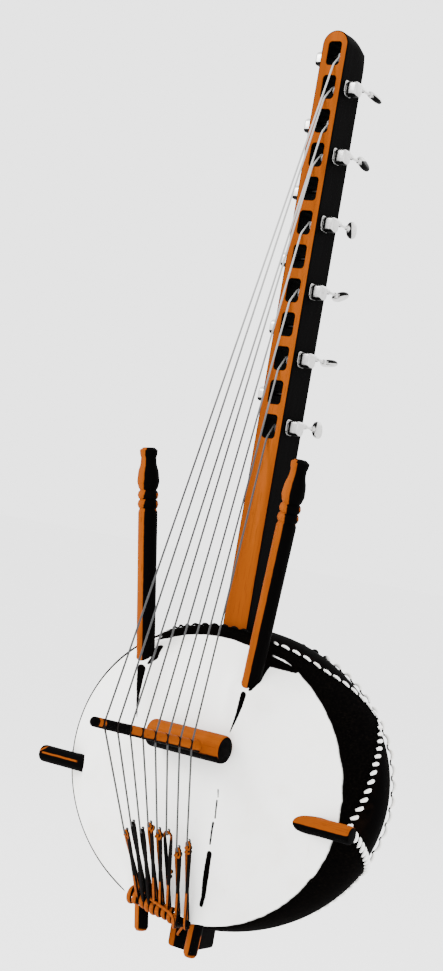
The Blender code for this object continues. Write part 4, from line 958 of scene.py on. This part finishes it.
def notch_point(index):
    """Middle of a string where it crosses the bar; 0 is nearest the tip."""
    along = bar_length - NOTCH_FIRST - index * NOTCH_PITCH
    return bar_root + bar_lean * along + bar_out * (bar_radius(along) - NOTCH_DEPTH + STRING_RADIUS)


def bridge_bar_profile():
    """A taper with a rounded tip and a shallow scored ring at each string but the first three."""
    profile = [(0.0, 0.0), (0.0, BRIDGE_ROOT_RADIUS)]
    stops = {0.010, 0.020, 0.030, 0.036, bar_length - 0.0125, bar_length - 0.0075}
    rings = [bar_length - NOTCH_FIRST - n * NOTCH_PITCH for n in range(8)]
    for ring in rings:
        stops.update((ring - 0.0016, ring - 0.0007, ring, ring + 0.0007, ring + 0.0016, ring + 0.0100))
    for along in sorted(stops):
        scored = 0.0004 if along in rings[3:] else 0.0
        profile.append((along, bar_radius(along) - scored))
    tip = bar_radius(bar_length)
    for n in range(7):
        turn = pi / 2 * n / 6
        profile.append((bar_length - 0.0007 - 0.0045 * (1 - sin(turn)), tip * cos(turn) ** 0.6 if n < 6 else 0.0))
    return profile


def rod_between(name, low, high, radius):
    return turned(name, [(0.0, 0.0), (0.0, radius), ((high - low).length, radius), ((high - low).length, 0.0)], 20,
                  low, high - low)


def foot_painted_shade(finish):
    """Painted shade on the underside and the right end."""
    under = dark_facing((0.10, 0.10, -0.98), 0.30, 0.42)(finish)
    end = finish.step(finish.facing((1.0, 0.0, 0.0)), 0.80, 0.92)
    return finish.either(under, end)


def bar_painted_shade(finish):
    """Painted shade on the tip, on the stretch from the second string to the third, in the rings and on the underside.
    """
    away = finish.off_axis(bar_root + bar_lean * bar_length, -bar_lean)
    ragged = away + finish.noise(220, 2) * 0.002 - 0.001
    tip = finish.step(ragged, 0.0092, 0.0078)
    stretch = finish.step(ragged, 0.0194, 0.0206) * finish.step(ragged, 0.0672, 0.0658)
    beat = finish.node("ShaderNodeMath", {"operation": "PINGPONG"}, {0: away - (NOTCH_FIRST - NOTCH_PITCH / 2), 1: NOTCH_PITCH / 2})
    rings = finish.step(beat, NOTCH_PITCH / 2 - 0.0013, NOTCH_PITCH / 2 - 0.0009)
    under = dark_facing((0.10, 0.05, -0.98), 0.55, 0.70)(finish)
    return finish.either(finish.either(tip, stretch), finish.either(rings, under))


foot = turned("foot_block", stick_profile(FOOT_LENGTH, FOOT_RADIUS), 56, foot_start, Vector((1, 0, 0)), 60)
bar = turned("string_bar", bridge_bar_profile(), 40, bar_root, bar_lean, 50)
seat = rod_between("bar_seat", bar_root - bar_lean * CLEARANCE, bar_root + bar_lean * 0.06, BRIDGE_ROOT_RADIUS + CLEARANCE)
settle(cut_away(foot, [seat], 50), oiled_wood("foot_wood", "X", foot_painted_shade), "bridge_wood", "instrument", "bridge_foot")


# Tail bar and thong. A short dark rod lies across the tails. One strip of rolled orange leather is wound on
# it and stands up in a loop for each string, some knotted at the top. It has painted shade on its right side,
# and the turns between the loops' feet and some loops, wholly or in part, are painted black as shade. More
# turns bind the feet of the loops, and the end runs over them to a hole in the tail of the neck, with a knot.
BAR_RADIUS, BAR_LEFT, BAR_RIGHT = 0.0040, -0.0535, 0.0390
BAR_UP, BAR_SLOPE, BAR_SWING = 0.0129 - RIM_HALF_HEIGHT, -0.210, 0.007
LOOP_FEET = (-0.0385, -0.0299, -0.0212, -0.0126, -0.0040, 0.0061, 0.0200, 0.0335)
LOOP_LENGTHS = (0.132, 0.145, 0.130, 0.138, 0.125, 0.121, 0.098, 0.108)
LOOP_LEG, LOOP_HALF_WIDTH = 0.0022, 0.0034
bar_wrap = (BAR_RADIUS + CLEARANCE + THONG_RADIUS) / cos(pi / 10)
bar_reach = bar_wrap + THONG_RADIUS


def bar_share(x):
    return (x - BAR_LEFT) / (BAR_RIGHT - BAR_LEFT)


def front_below_bar(x, up):
    """How far forward the hide or the left handle's tail reaches behind the bar."""
    tail = handle_point(-1, up)
    if abs(x - tail.x) < HANDLE_TAIL_RADIUS * 1.5:
        return max(crown_rise(x, up), RIM_Y - tail.y + HANDLE_TAIL_RADIUS * 1.02)
    return crown_rise(x, up)


bar_forward = 0.0
for n in range(25):
    sample = BAR_LEFT + (BAR_RIGHT - BAR_LEFT) * n / 24
    for degrees_up in range(-75, 90, 15):
        over = bar_reach * sin(radians(degrees_up))
        needed = front_below_bar(sample, BAR_UP + sample * BAR_SLOPE + over) + bar_reach * cos(radians(degrees_up))
        bar_forward = max(bar_forward, needed + CLEARANCE * 2 + BAR_SWING * bar_share(sample))


def bar_point(x):
    return place(x, bar_forward - BAR_SWING * bar_share(x), BAR_UP + x * BAR_SLOPE)


bar_along = (bar_point(BAR_RIGHT) - bar_point(BAR_LEFT)).normalized()
front = (Vector((0, -1, 0)) - bar_along * -bar_along.y).normalized()
bar_up = front.cross(bar_along)
if bar_up.z < 0:
    bar_up = -bar_up


def around_bar(x, angle, grown=0.0):
    """A point of a turn round the bar; angle 0 is its front and 90 degrees its top. Later turns lie on the
    first ones in front, and beside them at the back."""
    turn = front * (grown + (bar_wrap + grown) * cos(angle)) + bar_up * (bar_wrap + grown) * sin(angle)
    return bar_point(x) + turn


def loop_line(index):
    """Foot on the bar, direction to the string's notch, and tilt of that line to the front."""
    foot_x = LOOP_FEET[index]
    towards = (notch_point(index) - bar_point(foot_x)).normalized()
    return foot_x, towards, atan2(towards.dot(front), towards.dot(bar_up))


leather = Finish("thong", Specular_IOR_Level=0.03)
creased = leather.noise(380, 4, 0.65)
painted_light = leather.node("ShaderNodeAttribute", {"attribute_name": "shade"}, None, out="Fac")
tanned = leather.colour(leather.step(creased, 0.35, 0.7), (0.150, 0.030, 0.0020), (0.215, 0.050, 0.0034))
# Painted shade: the leather is near-black on the side facing right, less of it on the binding turns, and all over where
# a point's shade is 1.
bound = leather.step(painted_light, -0.20, -0.80) * 0.24
side = leather.step(leather.facing((0.83, 0.53, 0.17)) + leather.noise(160, 2) * 0.2 - 0.1 - bound, 0.06, 0.22)
leather_shade_black = leather.colour(leather.step(creased, 0.50, 0.75), (0.0006, 0.0005, 0.0005), (0.0060, 0.0022, 0.0010))
leather.paint(leather.colour(leather.either(side, leather.step(painted_light, 0.35, 0.65)), tanned, leather_shade_black),
              0.55 + creased * 0.2, creased, 0.0004, 0.5)

# Shade of each loop: left leg below and above, top, right leg above and below.
LOOP_SHADES = ((0, 0, 0, 1, 0), (1, 1, 1, 1, 1), (1, 1, 1, 1, 1), (0, 0, 0, 1, 0), (0, 0, 0, 1, 0),
               (0, 1, 0.45, 1, 0), (0, 0, 0, 1, 0), (0, 0, 0, 1, 0))
LOOP_SPREADS = (0.0024, 0.0026, 0.0026, 0.0026, 0.0026, 0.0052, 0.0030, 0.0027)
thong_route = []
loop_tops = []
first_tilt = loop_line(0)[2]
for n in range(20):
    share = n / 20
    x = LOOP_FEET[0] - LOOP_LEG - (THONG_RADIUS * 2 + 0.0008) * 1.25 * (1 - share)
    thong_route += cord_points([around_bar(x, pi - first_tilt + 2 * pi * 1.25 * (1 - share))], THONG_RADIUS)
for index in range(8):
    foot_x, rise, tilt = loop_line(index)
    across = (bar_along - rise * bar_along.dot(rise)).normalized()
    top = bar_point(foot_x) + rise * LOOP_LENGTHS[index]
    loop_tops.append((top, rise, across))
    spread = LOOP_SPREADS[index]
    peak = top + rise * (LOOP_HALF_WIDTH - spread)
    behind = around_bar(foot_x - LOOP_LEG, pi - tilt)
    ahead = around_bar(foot_x + LOOP_LEG, -tilt)
    low_left, high_left, at_top, high_right, low_right = LOOP_SHADES[index]
    left_end, right_end = peak - across * spread, peak + across * spread
    wide = 0.0025
    thong_route += cord_points([behind], wide, low_left)
    thong_route += cord_points([behind.lerp(left_end, share) for share in (0.2, 0.38)], wide, low_left)
    thong_route += cord_points([behind.lerp(left_end, share) for share in (0.44, 0.65, 0.85)], wide, high_left)
    for n in range(9):
        angle = pi - pi * n / 8
        arch = peak + (across * cos(angle) + rise * sin(angle)) * spread
        thong_route += cord_points([arch], 0.0018, at_top)
    thong_route += cord_points([ahead.lerp(right_end, share) for share in (0.85, 0.65, 0.44)], wide, high_right)
    thong_route += cord_points([ahead.lerp(right_end, share) for share in (0.38, 0.2)], wide, low_right)
    if index == 7:
        thong_route += cord_points([ahead, around_bar(foot_x + LOOP_LEG + 0.0008, -tilt - 1.0),
                                    around_bar(foot_x + LOOP_LEG + 0.0012, -tilt - 2.0)], THONG_RADIUS)
        break
    wrap_end = -pi - loop_line(index + 1)[2]
    for n in range(7):
        share = n / 7
        x = foot_x + LOOP_LEG + (LOOP_FEET[index + 1] - foot_x - LOOP_LEG * 2) * share
        thong_route += cord_points([around_bar(x, -tilt + (wrap_end + tilt) * share)], THONG_RADIUS, 1.0)

leather_shape = bmesh.new()
lay_cord(leather_shape, eased(thong_route, 3), 14)

binding = []
for n in range(9 * 16 + 1):
    share = n / (9 * 16)
    x = -0.0520 + (0.0250 + 0.0520) * share
    grown = 0.0030 if x < -0.0385 else 0.0012 + 0.0006 * sin(x * 900)
    size = 0.0027 + 0.0002 * sin(x * 611 + 2) + 0.0011 * cos(pi - 2 * pi * share * 9)
    binding += cord_points([around_bar(x, pi - 2 * pi * share * 9, grown)], size, -1.0)
lay_cord(leather_shape, eased(binding, 2), 14)

hole = Vector((-0.004, 0.0, thong_hole.z))
stop_y = CLEARANCE * 2 + THONG_RADIUS - 0.0003
strand = cord_points([
    around_bar(-0.0225, 1.30, 0.0020), around_bar(-0.0205, 0.98, 0.0052), around_bar(-0.0080, 0.84, 0.0062),
    around_bar(0.0060, 0.72, 0.0064), around_bar(0.0170, 0.58, 0.0062), around_bar(0.0240, 0.20, 0.0060),
    around_bar(0.0255, -0.50, 0.0050), around_bar(0.0235, -1.20, 0.0040),
    hole + Vector((0.016, -NECK_DEPTH - 0.020, 0.017)), hole + Vector((0.008, -NECK_DEPTH - 0.011, 0.009)),
    hole + Vector((0.002, -NECK_DEPTH - 0.006, 0.002)), hole + Vector((0.0, -NECK_DEPTH + 0.003, 0)),
    hole + Vector((0, -0.0035, 0)), hole + Vector((0, stop_y - 0.0012, 0.0006))], THONG_RADIUS, -1.0)
for n in range(20):
    angle = radians(90 - 18 * n)
    strand += cord_points([hole + Vector((0.005 * cos(angle), stop_y + 0.000225 * n, 0.005 * sin(angle)))], THONG_RADIUS)
lay_cord(leather_shape, eased(strand, 4), 14)


def tie_knot(centre, axis, aside, wide, tall, cord, shade=0.0):
    """A small knot about an axis, tied twice round."""
    other = axis.cross(aside)
    loops = []
    for n in range(60):
        turn = 2 * pi * n / 60
        reach = wide - cord - 0.0012 + 0.0012 * cos(3 * turn)
        loops.append(centre + (aside * cos(2 * turn) + other * sin(2 * turn)) * reach
                     + axis * (tall - cord) * sin(3 * turn))
    lay_cord(leather_shape, cord_points(loops, cord, shade), 12, 0, 0.01, True)


eye = THONG_RADIUS + CLEARANCE * 1.5 + STRING_RADIUS
for index, knots in (
    (0, ((0.0035, 0.0000, 0.0044, 0.0030),)), (3, ((0.0038, 0.0022, 0.0052, 0.0040),)),
    (4, ((0.0062, 0.0000, 0.0060, 0.0046),)), (6, ((0.0068, 0.0000, 0.0060, 0.0040),)),
    (7, ((0.0052, 0.0000, 0.0054, 0.0030), (0.0108, 0.0000, 0.0054, 0.0030))),
    (5, ((0.0560, 0.0036, 0.0040, 0.0030), (0.0640, 0.0024, 0.0038, 0.0028))),
):
    top, rise, across = loop_tops[index]
    for drop, sideways, wide, tall in knots:
        tie_knot(top + rise * (LOOP_HALF_WIDTH - drop - 0.002) + across * sideways, rise, across, wide, tall, 0.0021)
bmesh.ops.recalc_face_normals(leather_shape, faces=leather_shape.faces)
settle(piece_from("leather_thong", leather_shape, 180), leather, "thong", "instrument", "tail_thong")

rod_length = (bar_point(BAR_RIGHT) - bar_point(BAR_LEFT)).length
rod_profile = [(0.0, 0.0), (0.0002, BAR_RADIUS * 0.72), (0.0008, BAR_RADIUS * 0.93), (0.0018, BAR_RADIUS),
               (rod_length * 0.3, BAR_RADIUS * 0.985), (rod_length * 0.6, BAR_RADIUS),
               (rod_length - 0.0018, BAR_RADIUS), (rod_length - 0.0008, BAR_RADIUS * 0.93),
               (rod_length - 0.0002, BAR_RADIUS * 0.72), (rod_length, 0.0)]
settle(turned("cross_rod_tail", rod_profile, 28, bar_point(BAR_LEFT), bar_along),
       oiled_wood("tail_bar_wood", "X", dark_facing((0.2, 0.2, -0.95), -1.00, -0.90)), "dark_wood", "instrument",
       "tail_bar")


# Tuning machines. Six on each side of the neck, of nickel-plated metal with painted shade on its undersides,
# on part of each button and over the posts in their slots. Each has a housing with rounded corners on a plate
# with two screws, a post across the slot, and a worm shaft in a long ferrule with an oval button behind the
# neck. The left ones are the right ones turned half round.
GEAR_RADIUS, GEAR_THICKNESS, WORM_RADIUS, WORM_LENGTH, SHAFT_RADIUS = 0.0055, 0.0030, 0.0024, 0.010, 0.0019
HOUSING_WALL, HOUSING_STAND, HOUSING_LENGTH, HOUSING_ROUND, HOUSING_DOME = 0.0014, 0.0160, 0.0180, 0.0036, 0.0032
FERRULE_LENGTH, FERRULE_RADIUS = 0.015, 0.0040
BUTTON_START, BUTTON_LENGTH, BUTTON_WIDTH, BUTTON_THICKNESS = 0.0145, 0.0210, 0.0250, 0.0085
BUTTON_TURNS = (-20, 34, 75, 50, -40, 88, -10, -24, 60, -8, -35, 82)
foot_x = half_neck + CLEARANCE
gear_out = foot_x + HOUSING_STAND / 2
worm_rise = GEAR_RADIUS + WORM_RADIUS + CLEARANCE
housing_low = -(GEAR_RADIUS + CLEARANCE + HOUSING_WALL)
housing_high = worm_rise + WORM_RADIUS + CLEARANCE + HOUSING_WALL
housing_outer = foot_x + HOUSING_STAND
ferrule_end = housing_low + HOUSING_LENGTH + FERRULE_LENGTH


def gathered(name, pieces, sharp=35.0):
    """Several pieces as one."""
    shape = bmesh.new()
    for piece in pieces:
        shape.from_mesh(piece.data)
        bpy.data.objects.remove(piece, do_unlink=True)
    return piece_from(name, shape, sharp)


def housing_outline(inset, forward=0.0):
    """A housing from its side, in Y and Z: round at the gear, with its front drawn forward for the plate."""
    high_y, gear_end = housing_low + HOUSING_LENGTH, -housing_low
    points = []
    for quarter, (y, z, radius) in enumerate((
        (high_y - HOUSING_ROUND, housing_high - HOUSING_ROUND, HOUSING_ROUND),
        (housing_low + HOUSING_ROUND - forward, housing_high - HOUSING_ROUND, HOUSING_ROUND),
        (-forward, 0.0, gear_end), (high_y - gear_end, 0.0, gear_end),
    )):
        for n in range(9):
            angle = (quarter + n / 8) * pi / 2
            points.append((y + (radius - inset) * cos(angle), z + (radius - inset) * sin(angle)))
    return points


def pressed(name, stations, forward=0.0):
    """A solid along X through outlines of the housing; each station is a place and an inset."""
    shape = bmesh.new()
    rings = [[shape.verts.new((x, y, z)) for y, z in housing_outline(inset, forward)] for x, inset in stations]
    for a, b in zip(rings, rings[1:]):
        band(shape, a, b)
    shape.faces.new(rings[0])
    shape.faces.new(rings[-1])
    bmesh.ops.recalc_face_normals(shape, faces=shape.faces)
    return piece_from(name, shape)


def screw(x, y, z):
    """A slotted screw in the plate, seen from the right."""
    head = turned("screw", [(0.0, 0.0), (0.0, 0.0017), (0.0004, 0.0017), (0.0009, 0.0012), (0.0011, 0.0)], 20,
                  Vector((x, y, z)), Vector((1, 0, 0)))
    return cut_away(head, [box_cutter("kerf", (x + 0.0005, y - 0.0030, z - 0.00025), (x + 0.0030, y + 0.0030, z + 0.00025))])


def housing_template():
    """A pressed cover with a domed face on a plate with two screws, and the shaft's long ferrule."""
    low_y, high_y = housing_low, housing_low + HOUSING_LENGTH
    dome = [(housing_outer - HOUSING_DOME * (1 - sin(pi / 2 * n / 5)), HOUSING_DOME * (1 - cos(pi / 2 * n / 5)))
            for n in range(6)]
    cover = pressed("cover", [(foot_x, 0.0)] + dome)
    rooms = [pressed("room", [(half_neck - 0.010, HOUSING_WALL * 0.8), (housing_outer - HOUSING_DOME, HOUSING_WALL * 0.8)])
             for _ in range(2)]
    bore = rod_between("bore", Vector((gear_out, high_y - HOUSING_WALL * 2, worm_rise)),
                       Vector((gear_out, high_y + 0.0005, worm_rise)), SHAFT_RADIUS + CLEARANCE)
    cover = cut_away(cover, [rooms[0], bore])
    plate = cut_away(pressed("plate", [(foot_x, -0.0004), (foot_x + 0.0009, -0.0004), (foot_x + 0.0012, -0.0001)], 0.0036),
                     [rooms[1]])
    start = high_y - HOUSING_WALL / 2
    length = ferrule_end - start
    ferrule = turned("ferrule", [
        (0.0, SHAFT_RADIUS + CLEARANCE), (0.0, FERRULE_RADIUS), (0.0022, FERRULE_RADIUS), (0.0026, FERRULE_RADIUS * 0.86),
        (0.0034, FERRULE_RADIUS * 0.86), (0.0038, FERRULE_RADIUS), (length * 0.60, FERRULE_RADIUS),
        (length * 0.66, FERRULE_RADIUS * 0.92), (length - 0.0010, FERRULE_RADIUS * 0.82), (length, FERRULE_RADIUS * 0.74),
        (length, SHAFT_RADIUS + CLEARANCE), (0.0, SHAFT_RADIUS + CLEARANCE)], 28,
        Vector((gear_out, start, worm_rise)), Vector((0, 1, 0)))
    screws = [screw(foot_x + 0.0012, low_y - 0.0018, -0.0026), screw(foot_x + 0.0012, low_y - 0.0018, housing_high - 0.0044)]
    return gathered("housing_template", [cover, plate, ferrule] + screws)


def button_template():
    """Worm shaft, collars and oval button about the shaft's axis."""
    near = BUTTON_START - post_y
    shaft_start = housing_low + HOUSING_WALL + CLEARANCE
    shaft = turned("shaft", [
        (0.0, 0.0), (0.0, SHAFT_RADIUS), (-WORM_LENGTH / 2 - shaft_start, SHAFT_RADIUS),
        (-WORM_LENGTH / 2 - shaft_start, WORM_RADIUS), (WORM_LENGTH / 2 - shaft_start, WORM_RADIUS),
        (WORM_LENGTH / 2 - shaft_start, SHAFT_RADIUS), (near - 0.0046 - shaft_start, SHAFT_RADIUS),
        (near - 0.0042 - shaft_start, SHAFT_RADIUS * 1.55), (near - 0.0030 - shaft_start, SHAFT_RADIUS * 1.70),
        (near - 0.0024 - shaft_start, SHAFT_RADIUS * 1.45), (near - 0.0012 - shaft_start, SHAFT_RADIUS * 1.62),
        (near + 0.0030 - shaft_start, SHAFT_RADIUS * 1.70), (near + 0.0034 - shaft_start, 0.0)], 28,
        Vector((0, shaft_start, 0)), Vector((0, 1, 0)))
    wing = bmesh.new()
    rings = []
    reaches = (0.30, 0.55, 0.74, 0.87, 0.95, 0.99)
    for reach, face in [(r, 1) for r in reaches] + [(1.0, 0)] + [(r, -1) for r in reversed(reaches)]:
        ring = []
        for k in range(56):
            turn = 2 * pi * k / 56
            x = 0.5 * abs(cos(turn)) ** 0.86 * (1 if cos(turn) > 0 else -1) * reach
            y = 0.5 * abs(sin(turn)) ** 0.86 * (1 if sin(turn) > 0 else -1) * reach
            z = face * 0.5 * (1 - reach ** 5) ** 0.5
            pinch = 1.0 - 0.16 * (0.5 - y)
            ring.append(wing.verts.new((x * BUTTON_WIDTH * pinch, near + (y + 0.5) * BUTTON_LENGTH, z * BUTTON_THICKNESS)))
        rings.append(ring)
    for a, b in zip(rings, rings[1:]):
        band(wing, a, b)
    wing.faces.new(rings[0])
    wing.faces.new(rings[-1])
    bmesh.ops.recalc_face_normals(wing, faces=wing.faces)
    return gathered("button_template", [shaft, piece_from("wing", wing, 50)], 50)


def post_template():
    """Post and gear of a right machine about the post's axis."""
    gear_far = gear_out + GEAR_THICKNESS / 2
    length = gear_far + SLOT_WIDTH / 2 - 0.0030
    return turned("post_template", [
        (0.0, 0.0), (0.0, GEAR_RADIUS), (GEAR_THICKNESS, GEAR_RADIUS), (GEAR_THICKNESS, POST_RADIUS),
        (length - 0.0010, POST_RADIUS), (length - 0.0006, POST_RADIUS * 0.95), (length - 0.0002, POST_RADIUS * 0.84),
        (length, POST_RADIUS * 0.70), (length, 0.0)], 32, Vector((gear_far, 0, 0)), Vector((-1, 0, 0)))


def facing_down(low=0.35, high=0.60):
    """Painted shade on the underside."""
    def mask(finish):
        return finish.step(finish.facing((-0.10, -0.10, -0.99)) + finish.noise(160, 3) * 0.30 - 0.15, low, high)
    return mask


def housing_shade(number):
    """Painted shade on the underside, and on the foot of the cover behind its plate; on the left machines along the low
    end of the housing.
    """
    def mask(finish):
        away = finish.off_axis((0.0, 0.0, slot_height(number)), (float(machine_side(number)), 0.0, 0.0)) - half_neck
        rise = finish.along("Z") - slot_height(number)
        if machine_side(number) > 0:
            ragged = away + finish.noise(300, 2) * 0.0008
            foot = finish.step(ragged, 0.0062, 0.0052) * finish.step(away, 0.0016, 0.0018)
            foot = foot * finish.step(finish.facing((0.0, -0.80, -0.60)), 0.20, 0.40)
        else:
            foot = finish.step(rise, -0.0076, -0.0086)
        return finish.either(facing_down(0.50, 0.70)(finish), foot)
    return mask


def button_shade(centre, dark_way, start):
    """Painted shade on the part of a button that lies one way from its middle."""
    def mask(finish):
        ragged = finish.off_axis(centre, dark_way) + finish.noise(260, 2) * 0.001 - 0.0005
        return finish.step(ragged, start - 0.0003, start + 0.0003) * finish.step(finish.along("Y"), 0.0148, 0.0156)
    return mask


def nickel(name, bright, shade):
    """Nickel plating with smudges and painted shade."""
    plating = Finish(name, Metallic=1.0)
    smudge = plating.noise(160, 3, 0.6)
    fine = plating.noise(900, 3, 0.6)
    colour = plating.colour(plating.step(smudge, 0.45, 0.8), bright, tuple(value * 0.72 for value in bright))
    metal_painted_shade = shade(plating)
    plating.paint(plating.colour(metal_painted_shade, colour, (0.004, 0.004, 0.004)), 0.24 + smudge * 0.18 + metal_painted_shade * 0.25,
                  smudge * 0.4 + fine * 0.4, 0.0002, 0.15)
    return plating


# BRIGHT is the plating; POST_SHADED paints the posts near-black, as shade in their slots.
BRIGHT, POST_SHADED = (0.50, 0.495, 0.485), (0.018, 0.017, 0.016)
BUTTON_DARK = {2: ((-0.35, -0.25, -0.90), 0.0000), 4: ((0.38, 0.25, -0.89), -0.0028), 6: ((-0.83, -0.53, -0.17), 0.0003),
               8: ((-0.30, -0.20, 0.93), -0.0005), 10: ((-0.10, -0.08, 0.99), -0.0002),
               12: ((-0.83, -0.53, 0.10), 0.0022)}
templates = (housing_template(), button_template(), post_template())
for number in range(1, 13):
    label = "%02d" % number
    side = machine_side(number)
    half_turn = Matrix.Rotation(0.0 if side > 0 else pi, 4, "Y")
    post_spot = Vector((0.0, post_y, slot_height(number)))
    shaft_spot = post_spot + Vector((side * gear_out, 0.0, side * worm_rise))
    at_post = Matrix.Translation(post_spot) @ half_turn
    at_shaft = Matrix.Translation(shaft_spot) @ Matrix.Rotation(radians(BUTTON_TURNS[number - 1]), 4, "Y")
    centre = shaft_spot + Vector((0.0, BUTTON_START + BUTTON_LENGTH / 2 - post_y, 0.0))
    dark_way, start = BUTTON_DARK.get(number, ((-0.10, -0.08, -0.99), 0.0020))
    for template, placing, name, body, slot_name, finish, node in (
        (templates[0], at_post, "machine_", "instrument", "machine_metal",
         nickel("housing_metal_" + label, BRIGHT, housing_shade(number)), "housing_"),
        (templates[1], at_shaft, "oval_", "tuner_" + label, "button_metal",
         nickel("button_metal_" + label, BRIGHT, button_shade(centre, dark_way, start)), "button_"),
        (templates[2], at_post, "peg_", "roller_" + label, "post_metal",
         nickel("post_metal_" + label, POST_SHADED, facing_down()), "post_"),
    ):
        mesh = template.data.copy()
        mesh.transform(placing)
        piece = bpy.data.objects.new(name + label, mesh)
        bpy.context.scene.collection.objects.link(piece)
        settle(piece, finish, slot_name, body, node + label)
for template in templates:
    bpy.data.objects.remove(template, do_unlink=True)


# Strings. Eight nylon lines of one thickness, each wound on its post, bent over the edge of its slot, led
# over its notch in the bridge and tied in an eye round the top of its loop of the thong.
STRING_SLOTS = (1, 2, 3, 4, 6, 8, 10, 12)
STRING_TURNS, EYE_TURN = 1.67, 250
nylon = Finish("nylon", Specular_IOR_Level=0.04)
# The line is lighter grey towards the head and darker below, and painted near-black as shade where it lies in the bar's
# notches.
clear = nylon.step(nylon.along("Z"), 0.10, 0.42)
line_colour = nylon.colour(nylon.noise(300, 2), (0.050, 0.050, 0.050), (0.034, 0.034, 0.035))
line_colour = nylon.colour(clear, line_colour, (0.30, 0.30, 0.295))
off_root = nylon.node("ShaderNodeVectorMath", {"operation": "SUBTRACT"}, {0: nylon.spot, 1: tuple(bar_root)})
off_bar = nylon.node("ShaderNodeVectorMath", {"operation": "CROSS_PRODUCT"}, {0: off_root, 1: tuple(bar_lean)})
off_bar = nylon.node("ShaderNodeVectorMath", {"operation": "LENGTH"}, {0: off_bar}, out="Value")
line_colour = nylon.colour(nylon.step(off_bar, 0.0098, 0.0086), line_colour, (0.0030, 0.0020, 0.0015))
nylon.paint(line_colour, 0.35 + nylon.noise(500) * 0.15, nylon.noise(1200, 2), 0.0001, 0.2)
wind = (POST_RADIUS + CLEARANCE + STRING_RADIUS) / cos(pi / 9)
grooves = []
for index, slot_number in enumerate(STRING_SLOTS):
    side = machine_side(slot_number)
    middle = Vector((0.0, post_y, slot_height(slot_number)))
    notch = notch_point(index)
    edge = Vector((0.0, -NECK_DEPTH, middle.z - SLOT_LENGTH / 2))
    to_notch = Vector((0.0, notch.y - edge.y, notch.z - edge.z)).normalized()
    to_post = (middle + Vector((0.0, 0.0, wind)) - edge).normalized()
    off_edge = (STRING_RADIUS + CLEARANCE * 1.5) / sin(to_notch.angle(to_post) / 2)
    bend = edge - (to_notch + to_post).normalized() * off_edge
    reach = hypot(bend.y - middle.y, bend.z - middle.z)
    leave = atan2(bend.z - middle.z, bend.y - middle.y) - acos(wind / reach)
    spots = []
    for n in range(round(STRING_TURNS * 27), -1, -1):
        angle = leave - 2 * pi * n / 27
        spots.append(middle + Vector((side * (STRING_RADIUS * 2 + 0.0010) * (n / 27 - STRING_TURNS / 2),
                                      wind * cos(angle), wind * sin(angle))))
    share = (bend - middle).length / (notch - middle).length
    bend.x = spots[-1].x + (notch.x - spots[-1].x) * share
    before, after = bend.lerp(spots[-1], 0.12), bend.lerp(notch, 0.006)
    spots += [before, (before + after + bend * 2) / 4, after]
    top, rise, across = loop_tops[index]
    held = top + rise * LOOP_HALF_WIDTH
    aside = across.cross(rise)
    down = held + aside * eye
    near, far = notch.lerp(bend, 0.004), notch.lerp(down, 0.012)
    spots += [near, (near + far + notch * 2) / 4, far]
    for n in range(24):
        angle = radians(EYE_TURN) * n / 23
        spots.append(held + (aside * cos(angle) - rise * sin(angle)) * eye)
    shape = bmesh.new()
    lay_cord(shape, cord_points(spots, STRING_RADIUS), 12)
    bmesh.ops.recalc_face_normals(shape, faces=shape.faces)
    settle(piece_from("line_%d" % (index + 1), shape, 180), nylon, "string", "instrument", "string_%d" % (index + 1))
    for far_off in (bend, down):
        away = notch + (far_off - notch).normalized() * BRIDGE_ROOT_RADIUS * 3
        grooves.append(rod_between("groove", notch - (away - notch) * 0.02, away, STRING_RADIUS + CLEARANCE * 1.6))
settle(cut_away(bar, grooves, 50), oiled_wood("bar_wood", "Y", bar_painted_shade), "bridge_wood", "instrument", "bridge_bar")
